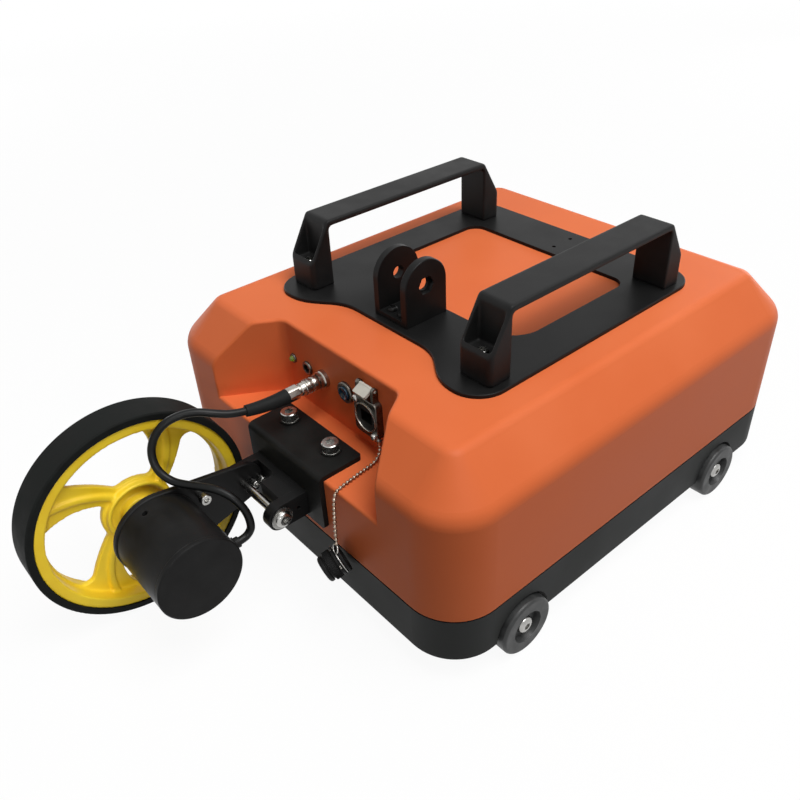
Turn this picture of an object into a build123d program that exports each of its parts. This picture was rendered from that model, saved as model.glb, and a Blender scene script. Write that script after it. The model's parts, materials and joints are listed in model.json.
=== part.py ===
"""Ground penetrating radar: antenna box on four small wheels, survey wheel on an arm in front.

Millimetres, +Z up, front facing -Y, ground at z = 0. The pieces are laid out about the middle
of the antenna box and then moved along Y, so the origin lies under the middle of the machine.
"""
from build123d import *
from math import atan2, cos, degrees, hypot, pi, radians, sin, tan
import os

# Antenna box, its seam and its shoulder
BOX_WIDTH = 346.0
BOX_LENGTH = 402.0
BOX_CORNER = 40.0
BOX_TOP = 184.0
WALL = 4.0
SHOULDER_RUN = 31.0
SHOULDER_DROP = 32.5
SHOULDER_ROUND = 18.0
TOP_ROUND = 10.0
SEAM = 63.0
GASKET_THICKNESS = 1.5
GASKET_INSET = 0.8
GASKET_WIDTH = 2.8
UNDERSIDE = 21.5
TRAY_FLOOR = 5.0
TRAY_EDGE = 3.0

# Screw columns that join tray and housing
COLUMN_RADIUS = 8.0
COLUMN_RISE = 22.0
CORNER_COLUMN_INSET = 20.0
MIDDLE_COLUMN_INSET = 11.0

# Front pocket with ledge and connector panel
LEDGE = 118.5
PANEL_DEPTH = 51.0
POCKET_HALF = 69.5
POCKET_MOUTH_HALF = 102.0
POCKET_CORNER = 10.0
POCKET_EDGE = 2.5

# Fasteners: shank and head radii, head heights, socket widths across flats
SCREW_CLEARANCE = 0.3
HEAD_CHAMFER = 0.5
DOME_RIM = 0.5
M3_SHANK = 1.5
M3_HEAD = 2.8
M3_HEAD_HEIGHT = 2.0
M3_SOCKET = 2.0
M4_SHANK = 2.0
M4_HEAD = 3.5
M4_HEAD_HEIGHT = 4.0
M4_SOCKET = 3.0
M5_SHANK = 2.5
M5_HEAD = 4.25
M5_HEAD_HEIGHT = 5.0
M5_SOCKET = 4.0
M5_BUTTON_HEIGHT = 3.0
M8_SHANK = 4.0
M8_HEAD = 6.5
M8_HEAD_HEIGHT = 7.0
M8_SOCKET = 6.0
BOSS_RADIUS = 7.0
BOSS_DEPTH = 12.0
TIP_GAP = 2.0

# Side wheels in their wells
SIDE_WHEEL_RADIUS = 24.0
SIDE_WHEEL_WIDTH = 15.0
SIDE_WHEEL_PROUD = 5.0
SIDE_WHEEL_EDGE = 2.5
SIDE_WHEEL_FRONT_Y = -131.0
SIDE_WHEEL_BACK_Y = 114.0
DISH_RADIUS = 13.5
DISH_DEPTH = 5.0
DISH_FLARE = 1.5
WELL_GAP = 2.5
WELL_SIDE_GAP = 0.6
AXLE_SHOULDER = 5.0
AXLE_RUNNING = 0.05
AXLE_RADIUS = 4.0
AXLE_HEAD_RADIUS = 7.0
AXLE_HEAD_HEIGHT = 3.8
AXLE_SOCKET = 5.0
AXLE_THREAD = 9.0
AXLE_BOSS_RADIUS = 9.0
AXLE_BOSS_DEPTH = 8.0

# Top plate
PLATE_THICKNESS = 3.0
PLATE_HALF_WIDTH = 120.0
PLATE_HALF_LENGTH = 125.0
PLATE_CORNER = 24.0
BAY_DEPTH = 23.5
BAY_SLOPE = 32.0
LOBE_WIDTH = 38.0
BAY_ROUND = 40.0
WINDOW_SIDE_INSET = 35.0
WINDOW_FRONT_INSET = 72.0
WINDOW_BACK_INSET = 46.0
WINDOW_FRONT_CORNER = 26.0
WINDOW_BACK_CORNER = 12.0
ACCESSORY_INSET = 23.5
ACCESSORY_SPACING = 22.0
ACCESSORY_RADIUS = 1.7
PLATE_EDGE = 0.5

# Lifting handles
HANDLE_SIDE_INSET = 21.5
HANDLE_WIDTH = 30.5
HANDLE_END_INSET = 17.0
HANDLE_HEIGHT = 55.0
HANDLE_LEG = 20.0
HANDLE_KNEE = 22.0
HANDLE_SLANT = 19.0
HANDLE_BAR = 5.0
HANDLE_INNER_ROUND = 3.5
HANDLE_FOOT_ROUND = 4.0
HANDLE_CROWN_ROUND = 4.0
HANDLE_EDGE = 1.5
RECESS_WIDTH = 25.0
RECESS_FLOOR = 20.0
RECESS_LIP = 2.2
RECESS_BACK = 3.0
RECESS_CORNER = 1.5
HANDLE_SCREW_INSET = 7.5
HANDLE_SCREW_SEAT = 17.0
HEAD_GAP = 0.6

# Tow clevis
TOW_X = -2.5
TOW_WIDTH = 37.5
TOW_EAR = 6.0
TOW_INSET = 29.5
TOW_LENGTH = 41.0
TOW_BASE = 4.5
TOW_PIN_HEIGHT = 29.5
TOW_PIN_RADIUS = 5.0
TOW_NUT_FLATS = 13.0
TOW_NUT_DEPTH = 3.5
TOW_SCREW_SPACING = 26.0
TOW_SEAM = 0.3
TOW_EDGE = 0.6

# Panel: status light, charging jack, power button
LIGHT_X = -60.0
LIGHT_Z = 152.5
LENS_RADIUS = 2.5
LENS_SEAT = 4.0
LENS_RISE = 2.5
LENS_DOME = 2.2
LIGHT_FLANGE_RADIUS = 4.0
LIGHT_FLANGE = 1.5
LIGHT_BARREL_RADIUS = 3.2
JACK_X = -40.5
JACK_Z = 152.2
JACK_FLANGE_RADIUS = 5.75
JACK_FLANGE = 2.0
JACK_BARREL_RADIUS = 4.4
JACK_CORE_RADIUS = 3.8
JACK_HOLE_RADIUS = 2.9
JACK_PIN_RADIUS = 1.0
JACK_HOLE_DEPTH = 9.0
JACK_PIN_BACK = 1.0
JACK_CORE_BACK = 0.5
BARREL_LENGTH = 14.0
NUT_HEIGHT = 3.0
NUT_RIM = 2.2
PANEL_CLEARANCE = 0.2
BUTTON_X = 8.5
BUTTON_Z = 153.5
BUTTON_BEZEL_RADIUS = 8.8
BUTTON_BEZEL = 2.6
BUTTON_BARREL_RADIUS = 6.6
BUTTON_CAP_RADIUS = 5.6
BUTTON_CAP_GAP = 0.3
BUTTON_CAP_RISE = 1.2
BUTTON_CAP_BODY = 5.0
BUTTON_CAP_DISH = 0.9
BUTTON_DISH_RADIUS = 4.5
BUTTON_CAP_EDGE = 0.4
BUTTON_TRAVEL = 1.5
BUTTON_UNDER_GAP = 0.5

# Push-pull encoder connector on the panel
SOCKET_X = -19.5
SOCKET_Z = 152.5
SOCKET_FLANGE_RADIUS = 7.4
SOCKET_FLANGE = 4.0
SOCKET_CHAMFER = 0.7
SOCKET_NOSE_RADIUS = 6.2
SOCKET_NOSE = 3.0
SOCKET_BARREL_RADIUS = 6.0
PLUG_CORE_RADIUS = 4.4
PLUG_SEAT = 2.0
SLEEVE_RADIUS = 6.0
SLEEVE_LENGTH = 15.5
SLEEVE_RUNNING = 0.06
SLEEVE_TRAVEL = 2.0
SLEEVE_GAP = 0.5
SLEEVE_GROOVE = 0.6
SLEEVE_GROOVE_WIDTH = 1.2
SLEEVE_GROOVES = 4
BACKNUT_RADIUS = 5.8
BACKNUT_FLATS = 10.8
BACKNUT_LENGTH = 9.0
BOOT_LENGTH = 34.0
BOOT_ROOT_RADIUS = 5.8
BOOT_TIP_RADIUS = 4.4
BOOT_BEND = 12.0
BOOT_LEAN = 50.0

# Network connector with its latch
NET_X = 37.5
NET_Z = 148.5
NET_WIDTH = 26.0
NET_HEIGHT = 32.0
NET_BLOCK = 6.0
NET_CORNER = 4.0
NET_EDGE = 0.8
NET_BARREL_RADIUS = 11.8
NET_BARREL_LENGTH = 16.0
NET_RING_RADIUS = 12.0
NET_RING = 0.6
NET_BORE_RADIUS = 10.8
NET_STEP_RADIUS = 9.4
NET_STEP = 2.5
NET_CORE_GAP = 0.1
NET_CORE_BACK = 1.5
JACK_OPENING_WIDTH = 12.0
JACK_OPENING_HEIGHT = 9.5
JACK_OPENING_DEPTH = 11.0
NET_SCREW_X = 9.8
NET_SCREW_Y = 12.3
NET_SCREW_TAIL = 4.0
LATCH_WIDTH = 13.4
LATCH_LENGTH = 9.5
LATCH_THICKNESS = 2.2
LATCH_TILT = 28.0
LATCH_PIVOT_RADIUS = 1.3
LATCH_PIVOT_HEIGHT = 9.5
LATCH_PIVOT_OUT = 3.0
LATCH_LUG = 2.5
LATCH_LUG_RADIUS = 2.5
LATCH_LUG_ROOT = 1.5
LATCH_PIN_SEAT = 2.0
LATCH_CORNER = 1.1
LATCH_SIDE_GAP = 0.4
LATCH_RUNNING = 0.1

# Ball chain and dust cap of the network connector
CHAIN_DIAMETER = 3.0
TAB_THICKNESS = 0.8
TAB_RADIUS = 3.4
TAB_ARM = 5.6
COUPLING_RADIUS = 1.9
COUPLING_LENGTH = 3.5
CHAIN_LEDGE_GAP = 0.4
CHAIN_LEAD = 4.2
CAP_RADIUS = 11.2
CAP_FRONT_RADIUS = 8.6
CAP_LENGTH = 17.5
CAP_CONE = 4.0
CAP_GROOVE = 1.3
CAP_GROOVE_WIDTH = 1.8
CAP_GROOVE_BACK = 4.2
CAP_BORE_RADIUS = 9.2
CAP_BORE_DEPTH = 9.0
CAP_X = 64.5
CAP_OFF = 13.6
CAP_Z = 62.0
CAP_TILT = 22.0
CAP_TURN = 16.0
CAP_WIRE = 0.6
CAP_EYE_RADIUS = 3.4
CAP_EYE_BEND = 40.0
CAP_EYE_ROLL = 6.0

# Hinge bracket on the ledge
BRACKET_X = -3.5
BRACKET_HALF = 46.5
BRACKET_THICKNESS = 4.0
BRACKET_DEPTH = 39.5
BRACKET_FOOT = 74.0
BRACKET_GAP = 0.3
BRACKET_BEND = 5.0
BRACKET_CORNER = 3.0
BRACKET_SCREW_X = 26.5
BRACKET_SCREW_DEPTH = 22.0
BRACKET_BOSS = 8.0
WASHER_RADIUS = 8.0
WASHER_THICKNESS = 1.2

# Hinge clevis, stop block and pivot
HINGE_X = -7.8
HINGE_WIDTH = 64.6
HINGE_EAR = 8.0
HINGE_WEB = 6.0
HINGE_RADIUS = 10.8
PIVOT_Z = 89.0
PIVOT_REACH = 23.6
PIVOT_RADIUS = 3.5
PIVOT_RUNNING = 0.05
PIVOT_END_GAP = 0.3
PIVOT_HEAD_RADIUS = 6.5
PIVOT_HEAD = 4.0
PIVOT_TAP = 12.0
PIVOT_WASHER_RADIUS = 9.0
PIVOT_BUTTON_RADIUS = 6.6
PIVOT_BUTTON = 3.5
STOP_WIDTH = 24.5
STOP_DEPTH = 13.0
PIN_HOLE_REACH = 8.3
PIN_HOLE_RADIUS = 1.8
FLAT_HEAD_RADIUS = 4.0
FLAT_HEAD = 2.2
FLAT_SCREW_X = 9.0

# Wheel arm
ARM_THICKNESS = 5.0
ARM_GAP = 0.3
ARM_REACH = 71.6
ARM_WHEEL_RADIUS = 33.0
ARM_PIVOT_RADIUS = 17.0
ARM_EDGE = 0.8
ARM_SHAFT_HOLE = 9.0
ARM_SCREW_REACHES = (6.9, 13.3)
ARM_SCREW_HEAD = 3.0
ARM_SCREW_STANDOFF = 4.0
POST_REACH = 36.0
POST_RISE = 12.5
POST_SHOULDER = 3.2
POST_SHOULDER_LENGTH = 6.0
MOUNT_SCREW_CIRCLE_RADIUS = 25.0
MOUNT_SCREW_DEPTH = 8.0

# Survey wheel
SURVEY_RADIUS = 85.5
TYRE_WIDTH = 27.0
TYRE_DEPTH = 5.6
TYRE_EDGE = 1.5
TYRE_FACE_X = -50.0
RIM_DEPTH = 8.0
RIM_INSET = 1.0
SPOKE_FACE = 12.0
SPOKE_THICKNESS = 5.0
SPOKES = 4
SPOKE_START = 38.0
SPOKE_SWEEP = 23.0
SPOKE_HUB_WIDTH = 15.5
SPOKE_MIDDLE_WIDTH = 21.0
SPOKE_RIM_WIDTH = 37.0
SPOKE_MIDDLE_R = 47.0
WINDOW_HUB_R = 27.5
WINDOW_RIM_R = 70.0
WINDOW_HUB_ROUND = 4.0
WINDOW_RIM_ROUND = 7.0
RIB_WIDTH = 5.0
RIB_RISE = 2.5
HUB_RADIUS = 25.0
HUB_LIP = 3.0
HUB_LIP_RISE = 5.0
HUB_BOSS_RADIUS = 13.5
HUB_BOSS_FACE = 5.0
HUB_BACK = 5.0
HUB_TAP = 10.0
RIB_ROOT = 1.0
FLANGE_RADIUS = 11.0
FLANGE_THICKNESS = 4.0
COLLAR_RADIUS = 7.0
COLLAR_LENGTH = 7.0
FLANGE_SCREWS = 3
FLANGE_SCREW_CIRCLE_RADIUS = 7.8
SHAFT_RADIUS = 4.0
SHAFT_GAP = 0.1
SHAFT_HOLE_GAP = 0.6

# Encoder on the arm
ENCODER_RADIUS = 32.0
ENCODER_LENGTH = 57.0
ENCODER_WALL = 3.5
ENCODER_CAP = 4.0
CAP_SPIGOT = 3.0
CAP_FIT = 0.1
BEARING_RADIUS = 11.0
BEARING_WIDTH = 7.0
BEARING_RUNNING = 0.05
BEARING_FIT = 0.05
BEARING_SPACE = 2.0
BEARING_STEP = 2.0
SPACER_WALL = 2.0
DISC_RADIUS = 18.0
DISC_THICKNESS = 1.2
DISC_HUB_RADIUS = 7.0
DISC_STANDOFF = 4.0
SENSOR_GAP = 0.8
BOARD_RADIUS = 26.0
BOARD_THICKNESS = 1.6
POST_CIRCLE_RADIUS = 22.5
POST_RADIUS = 2.6
SENSOR_SIZE = 9.0
GRUB_HOLE_RADIUS = 2.2
GRUB_HOLE_INSET = 8.8
GRUB_HOLE_ANGLES = (16.0, -104.0)
GLAND_X = 20.3
GLAND_FLAT = 1.2
GLAND_FLATS = 9.4
GLAND_SEAT_RADIUS = 5.8
GLAND_HEX_LENGTH = 3.0
GLAND_COLLAR_RADIUS = 4.2
GLAND_COLLAR_LENGTH = 3.5
GLAND_SPIGOT_RADIUS = 2.6

# Encoder cable
CABLE_DIAMETER = 6.0
CABLE_LEAD = 10.0
HOOK_RUN = 5.1
HOOK_BEND_REACH = 9.5
HOOK_BEND_RISE = 2.75
HOOK_TOP_REACH = 12.0
HOOK_TOP_RISE = 7.3

# Inside the box: antenna board, shield can, radar board and battery
PAD_RADIUS = 10.0
PAD_RISE = 3.0
PAD_X = 110.0
PAD_Y = 135.0
ANTENNA_WIDTH = 270.0
ANTENNA_LENGTH = 320.0
ANTENNA_THICKNESS = 3.2
CAN_WIDTH = 230.0
CAN_LENGTH = 270.0
CAN_HEIGHT = 66.0
CAN_WALL = 2.0
STANDOFF_RADIUS = 3.0
STANDOFF_HEIGHT = 8.0
RADAR_WIDTH = 150.0
RADAR_LENGTH = 150.0
RADAR_THICKNESS = 1.6
RADAR_Y = -25.0
STANDOFF_MARGIN = 6.0
CHIP_SIZE = 28.0
CHIP_HEIGHT = 4.0
BATTERY_WIDTH = 150.0
BATTERY_LENGTH = 60.0
BATTERY_HEIGHT = 38.0
BATTERY_Y = 90.0
BATTERY_EDGE = 4.0

# Places that follow from the sizes above
FRONT = -BOX_LENGTH / 2
SIDE = BOX_WIDTH / 2
PANEL = FRONT + PANEL_DEPTH
PLATE_TOP = BOX_TOP + PLATE_THICKNESS
TRAY_TOP = SEAM - GASKET_THICKNESS
FLOOR_TOP = UNDERSIDE + TRAY_FLOOR
WELL_BACK_X = SIDE + SIDE_WHEEL_PROUD - SIDE_WHEEL_WIDTH - WELL_SIDE_GAP
AXLE_SHOULDER_LENGTH = SIDE_WHEEL_WIDTH - DISH_DEPTH + 2 * WELL_SIDE_GAP
LOBE_INNER = PLATE_HALF_WIDTH - LOBE_WIDTH
BAY_HALF = LOBE_INNER - BAY_SLOPE
WINDOW_HALF = PLATE_HALF_WIDTH - WINDOW_SIDE_INSET
WINDOW_FRONT_Y = WINDOW_FRONT_INSET - PLATE_HALF_LENGTH
WINDOW_BACK_Y = PLATE_HALF_LENGTH - WINDOW_BACK_INSET
ACCESSORY_Y = PLATE_HALF_LENGTH - ACCESSORY_INSET
HANDLE_X = PLATE_HALF_WIDTH - HANDLE_SIDE_INSET
HANDLE_HALF_LENGTH = PLATE_HALF_LENGTH - HANDLE_END_INSET
HANDLE_SCREW_Y = HANDLE_HALF_LENGTH - HANDLE_SCREW_INSET
TOW_FRONT_Y = TOW_INSET - PLATE_HALF_LENGTH
TOW_Y = TOW_FRONT_Y + TOW_LENGTH / 2
TOW_SCREW_X = (TOW_WIDTH / 2 - TOW_EAR) / 2
BRACKET_FRONT = FRONT - BRACKET_GAP - BRACKET_THICKNESS
BRACKET_TOP = LEDGE + BRACKET_THICKNESS
BRACKET_SCREW_Y = FRONT + BRACKET_SCREW_DEPTH
PIVOT_Y = BRACKET_FRONT - PIVOT_REACH
EAR_LEFT = HINGE_X - HINGE_WIDTH / 2
EAR_RIGHT = HINGE_X + HINGE_WIDTH / 2
ARM_FACE = EAR_LEFT + HINGE_EAR + ARM_GAP + ARM_THICKNESS
ARM_BACK = ARM_FACE - ARM_THICKNESS
AXLE_Y = PIVOT_Y - ARM_REACH
AXLE_Z = SURVEY_RADIUS
RIM_RADIUS = SURVEY_RADIUS - TYRE_DEPTH
ENCODER_END = ARM_FACE + ENCODER_LENGTH
BEARING_BORE = 2 * BEARING_WIDTH + BEARING_SPACE
CAVITY_X = ARM_FACE + BEARING_BORE + BEARING_STEP
DISC_X = CAVITY_X + DISC_STANDOFF
BOARD_X = DISC_X + DISC_THICKNESS + SENSOR_GAP + SENSOR_SIZE / 2
GLAND_SEAT_Y = AXLE_Y + ENCODER_RADIUS - GLAND_FLAT
GLAND_END_Y = GLAND_SEAT_Y + GLAND_HEX_LENGTH + GLAND_COLLAR_LENGTH
SLEEVE_START = SOCKET_FLANGE + SOCKET_NOSE + SLEEVE_GAP
BACKNUT_START = SLEEVE_START + SLEEVE_LENGTH + SLEEVE_TRAVEL + SLEEVE_GAP
BOOT_START = BACKNUT_START + BACKNUT_LENGTH
ANTENNA_TOP = FLOOR_TOP + PAD_RISE + ANTENNA_THICKNESS
CAN_TOP = ANTENNA_TOP + CAN_HEIGHT
RADAR_BOTTOM = CAN_TOP + STANDOFF_HEIGHT
CHAIN_START_X = NET_X + NET_SCREW_X + TAB_ARM
CHAIN_START_Y = PANEL - NET_BLOCK - TAB_THICKNESS / 2
CHAIN_START_Z = NET_Z - NET_SCREW_Y - COUPLING_LENGTH
CHAIN_LEDGE_Z = LEDGE + CHAIN_DIAMETER / 2 + CHAIN_LEDGE_GAP
CAP_HOOP_RADIUS = CAP_RADIUS - CAP_GROOVE + CAP_WIRE
ORIGIN_SHIFT = (SURVEY_RADIUS - AXLE_Y - BOX_LENGTH / 2) / 2

UPRIGHT = (Align.CENTER, Align.CENTER, Align.MIN)
TO_FRONT = Rot(90, 0, 0)
TO_RIGHT = Rot(0, 90, 0)
TO_LEFT = Rot(0, -90, 0)
TO_BACK = Rot(-90, 0, 0)
SIDES = (-1, 1)
NEAR = 0.01
RIM_BAND = 0.6
WHEEL_SPOTS = {
    "front_left": (-1, SIDE_WHEEL_FRONT_Y),
    "front_right": (1, SIDE_WHEEL_FRONT_Y),
    "rear_left": (-1, SIDE_WHEEL_BACK_Y),
    "rear_right": (1, SIDE_WHEEL_BACK_Y),
}


def rod(radius, height):
    """Cylinder standing on z = 0."""
    return Cylinder(radius, height, align=UPRIGHT)


def drop(radius, depth):
    """Cylinder hanging below z = 0."""
    return Pos(0, 0, -depth) * rod(radius, depth)


def hexagon(flats, height):
    """Hexagonal bar standing on z = 0, a flat facing local X."""
    return extrude(RegularPolygon(flats / 2, 6, major_radius=False), height)


def group(pieces):
    """Separate solids held as one node."""
    return Compound(children=list(pieces))


def socket_screw(shank, length, head, head_height, flats):
    """Screw with a socket head standing on z = 0 and its shank hanging below."""
    top = rod(head, head_height)
    top = chamfer(top.edges().group_by(Axis.Z)[-1], HEAD_CHAMFER)
    top -= Pos(0, 0, head_height / 2) * hexagon(flats, head_height)
    return top + drop(shank, length)


def button_screw(shank, length, head, head_height, flats):
    """Screw with a domed socket head standing on z = 0 and its shank hanging below."""
    top = rod(head, head_height)
    top = fillet(top.edges().group_by(Axis.Z)[-1], head_height - DOME_RIM)
    top -= Pos(0, 0, head_height / 2) * hexagon(flats, head_height)
    return top + drop(shank, length)


def rounded_block(inset, bottom, top):
    """Upright block with the box's plan, drawn in by INSET."""
    plan = RectangleRounded(BOX_WIDTH - 2 * inset, BOX_LENGTH - 2 * inset, BOX_CORNER - inset)
    return Pos(0, 0, bottom) * extrude(plan, top - bottom)


def shouldered_block(inset, bottom):
    """The box with its sloping shoulder, drawn in by INSET on every face."""
    slope = hypot(SHOULDER_RUN, SHOULDER_DROP)
    spare = inset * (SHOULDER_RUN + SHOULDER_DROP - slope)
    block = rounded_block(inset, bottom, BOX_TOP - inset)
    lid = block.faces().sort_by(Axis.Z)[-1]
    run = SHOULDER_RUN - spare / SHOULDER_DROP
    fall = SHOULDER_DROP - spare / SHOULDER_RUN
    return chamfer(lid.edges(), run, fall, reference=lid)


def edges_at_height(shape, height):
    return shape.edges().filter_by_position(Axis.Z, height - NEAR, height + NEAR)


def pocket(grow):
    """Space of the front pocket, widened by GROW at its walls and its floor."""
    reach = PANEL_DEPTH + BOX_CORNER
    far = POCKET_HALF + (POCKET_MOUTH_HALF - POCKET_HALF) * reach / PANEL_DEPTH
    outline = Polyline(
        (-POCKET_HALF, PANEL), (POCKET_HALF, PANEL), (far, PANEL - reach), (-far, PANEL - reach), close=True)
    plan = make_face(outline)
    plan = fillet(plan.vertices().group_by(Axis.Y)[-1], POCKET_CORNER)
    if grow:
        plan = offset(plan, grow)
    return Pos(0, 0, LEDGE - grow) * extrude(plan, BOX_TOP - LEDGE + WALL)


def pocket_rim(shape):
    """Edges where the pocket's walls and ledge come out of the box's skin."""
    rim = ShapeList()
    for edge in shape.edges():
        box = edge.bounding_box()
        at_front = abs(edge.center().Y - FRONT) < NEAR
        if at_front and abs(edge.center().Z - LEDGE) < NEAR:
            rim.append(edge)
            continue
        rises = box.max.Z - box.min.Z
        upright_inside = rises > BOX_TOP - LEDGE - TOP_ROUND and not at_front
        if box.max.Z < LEDGE + NEAR or upright_inside or box.max.Y > PANEL + NEAR:
            continue
        middle = edge @ 0.5
        half = POCKET_HALF + (POCKET_MOUTH_HALF - POCKET_HALF) * (PANEL - middle.Y) / PANEL_DEPTH
        on_wall = abs(abs(middle.X) - half) < RIM_BAND
        on_corner = middle.Y > PANEL - POCKET_CORNER and abs(middle.X) < half
        if (on_wall or on_corner) and box.min.Z > LEDGE - NEAR:
            rim.append(edge)
    return rim


def column_spots():
    """Places of the screws that hold the tray to the housing."""
    x = SIDE - CORNER_COLUMN_INSET
    y = BOX_LENGTH / 2 - CORNER_COLUMN_INSET
    middle = BOX_LENGTH / 2 - MIDDLE_COLUMN_INSET
    return [(-x, -y), (x, -y), (-x, y), (x, y), (0, -middle), (0, middle)]


def handle_screw_spots():
    return [(i * HANDLE_X, j * HANDLE_SCREW_Y) for i in SIDES for j in SIDES]


def tow_screw_spots():
    return [(TOW_X + i * TOW_SCREW_X, TOW_Y + j * TOW_SCREW_SPACING / 2) for i in SIDES for j in SIDES]


def bracket_screw_spots():
    return [(BRACKET_X + i * BRACKET_SCREW_X, BRACKET_SCREW_Y) for i in SIDES]


def panel_holes():
    """Round holes in the connector panel: place on the panel and radius."""
    return [
        (LIGHT_X, LIGHT_Z, LIGHT_BARREL_RADIUS),
        (JACK_X, JACK_Z, JACK_BARREL_RADIUS),
        (SOCKET_X, SOCKET_Z, SOCKET_BARREL_RADIUS),
        (BUTTON_X, BUTTON_Z, BUTTON_BARREL_RADIUS),
        (NET_X, NET_Z, NET_BARREL_RADIUS),
    ]


def top_housing():
    """Moulded shell with shoulder, front pocket, screw columns and bosses."""
    skin = shouldered_block(0, SEAM)
    skin = fillet(edges_at_height(skin, BOX_TOP), TOP_ROUND)
    skin = fillet(edges_at_height(skin, BOX_TOP - SHOULDER_DROP), SHOULDER_ROUND)
    skin -= pocket(0)
    skin = fillet(pocket_rim(skin), POCKET_EDGE)
    void = shouldered_block(WALL, SEAM - WALL) - pocket(WALL)
    for x, y in column_spots():
        void -= Pos(x, y, SEAM - WALL) * rod(COLUMN_RADIUS, WALL + COLUMN_RISE)
    for x, y in handle_screw_spots() + tow_screw_spots():
        void -= Pos(x, y, BOX_TOP) * drop(BOSS_RADIUS, WALL + BOSS_DEPTH)
    for x, y in bracket_screw_spots():
        void -= Pos(x, y, LEDGE) * drop(BRACKET_BOSS, WALL + BOSS_DEPTH)
    shell = skin - void
    hole = M5_SHANK + SCREW_CLEARANCE
    for x, y in column_spots():
        shell -= Pos(x, y, SEAM) * rod(hole, COLUMN_RISE - TIP_GAP)
    for x, y in handle_screw_spots() + tow_screw_spots():
        shell -= Pos(x, y, BOX_TOP) * drop(hole, WALL + BOSS_DEPTH - TIP_GAP)
    for x, y in bracket_screw_spots():
        shell -= Pos(x, y, LEDGE) * drop(M8_SHANK + SCREW_CLEARANCE, WALL + BOSS_DEPTH - TIP_GAP)
    for x, z, radius in panel_holes():
        shell -= Pos(x, PANEL + WALL, z) * TO_FRONT * rod(radius + PANEL_CLEARANCE, 2 * WALL)
    for i in SIDES:
        spot = Pos(NET_X + i * NET_SCREW_X, PANEL + WALL, NET_Z - i * NET_SCREW_Y)
        shell -= spot * TO_FRONT * rod(M3_SHANK + SCREW_CLEARANCE, 2 * WALL)
    return shell


def outward(side, y):
    """Place of a side wheel: local z points out of the box, z = 0 on the well's back wall."""
    turn = TO_RIGHT if side > 0 else TO_LEFT
    return Pos(side * WELL_BACK_X, y, SIDE_WHEEL_RADIUS) * turn


def base_tray():
    """Floor tray with wheel wells, axle bosses, screw columns and pads for the antenna board."""
    skin = rounded_block(0, UNDERSIDE, TRAY_TOP)
    skin = fillet(edges_at_height(skin, UNDERSIDE), TRAY_EDGE)
    void = rounded_block(WALL, FLOOR_TOP, TRAY_TOP + WALL)
    well_radius = SIDE_WHEEL_RADIUS + WELL_GAP
    well_depth = SIDE - WELL_BACK_X
    for side, y in WHEEL_SPOTS.values():
        void -= outward(side, y) * Pos(0, 0, -WALL) * rod(well_radius + WALL, well_depth + WALL)
        void -= outward(side, y) * drop(AXLE_BOSS_RADIUS, WALL + AXLE_BOSS_DEPTH)
    for x, y in column_spots():
        void -= Pos(x, y, FLOOR_TOP) * rod(COLUMN_RADIUS, SEAM)
    for i in SIDES:
        for j in SIDES:
            void -= Pos(i * PAD_X, j * PAD_Y, FLOOR_TOP) * rod(PAD_RADIUS, PAD_RISE)
    tray = skin - void
    for side, y in WHEEL_SPOTS.values():
        tray -= outward(side, y) * rod(well_radius, well_depth + WALL)
        tray -= outward(side, y) * drop(AXLE_RADIUS + SCREW_CLEARANCE, AXLE_THREAD + TIP_GAP)
    head_room = M5_HEAD + HEAD_GAP
    for x, y in column_spots():
        tray -= Pos(x, y, UNDERSIDE) * rod(M5_SHANK + SCREW_CLEARANCE, SEAM)
        tray -= Pos(x, y, UNDERSIDE) * rod(head_room, M5_HEAD_HEIGHT + HEAD_GAP)
    return tray


def seam_gasket():
    """Flat rubber ring between the rims of tray and housing."""
    outer = rounded_block(GASKET_INSET, TRAY_TOP, SEAM)
    return outer - rounded_block(GASKET_INSET + GASKET_WIDTH, TRAY_TOP, SEAM)


def tray_screws():
    """Screws put in from below, heads sunk in the tray."""
    seat = UNDERSIDE + M5_HEAD_HEIGHT + HEAD_GAP
    length = SEAM - seat + COLUMN_RISE - 2 * TIP_GAP
    screw = Rot(180, 0, 0) * socket_screw(M5_SHANK, length, M5_HEAD, M5_HEAD_HEIGHT, M5_SOCKET)
    return group(Pos(x, y, seat) * screw for x, y in column_spots())


def side_wheel(side, y):
    """Solid wheel with a dished outer face."""
    wheel = rod(SIDE_WHEEL_RADIUS, SIDE_WHEEL_WIDTH)
    wheel = fillet(wheel.edges().filter_by(GeomType.CIRCLE), SIDE_WHEEL_EDGE)
    dish = Pos(0, 0, SIDE_WHEEL_WIDTH - DISH_DEPTH) * Cone(
        DISH_RADIUS - DISH_FLARE, DISH_RADIUS, DISH_DEPTH, align=UPRIGHT)
    wheel -= dish
    wheel -= rod(AXLE_SHOULDER + AXLE_RUNNING, SIDE_WHEEL_WIDTH)
    return outward(side, y) * Pos(0, 0, WELL_SIDE_GAP) * wheel


def axle_screws():
    """Shoulder screws that the side wheels turn on, screwed into the wells' back walls."""
    screw = button_screw(
        AXLE_SHOULDER, AXLE_SHOULDER_LENGTH, AXLE_HEAD_RADIUS, AXLE_HEAD_HEIGHT, AXLE_SOCKET)
    screw += Pos(0, 0, -AXLE_SHOULDER_LENGTH) * drop(AXLE_RADIUS, AXLE_THREAD)
    seat = Pos(0, 0, AXLE_SHOULDER_LENGTH)
    return group(outward(side, y) * seat * screw for side, y in WHEEL_SPOTS.values())


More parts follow.
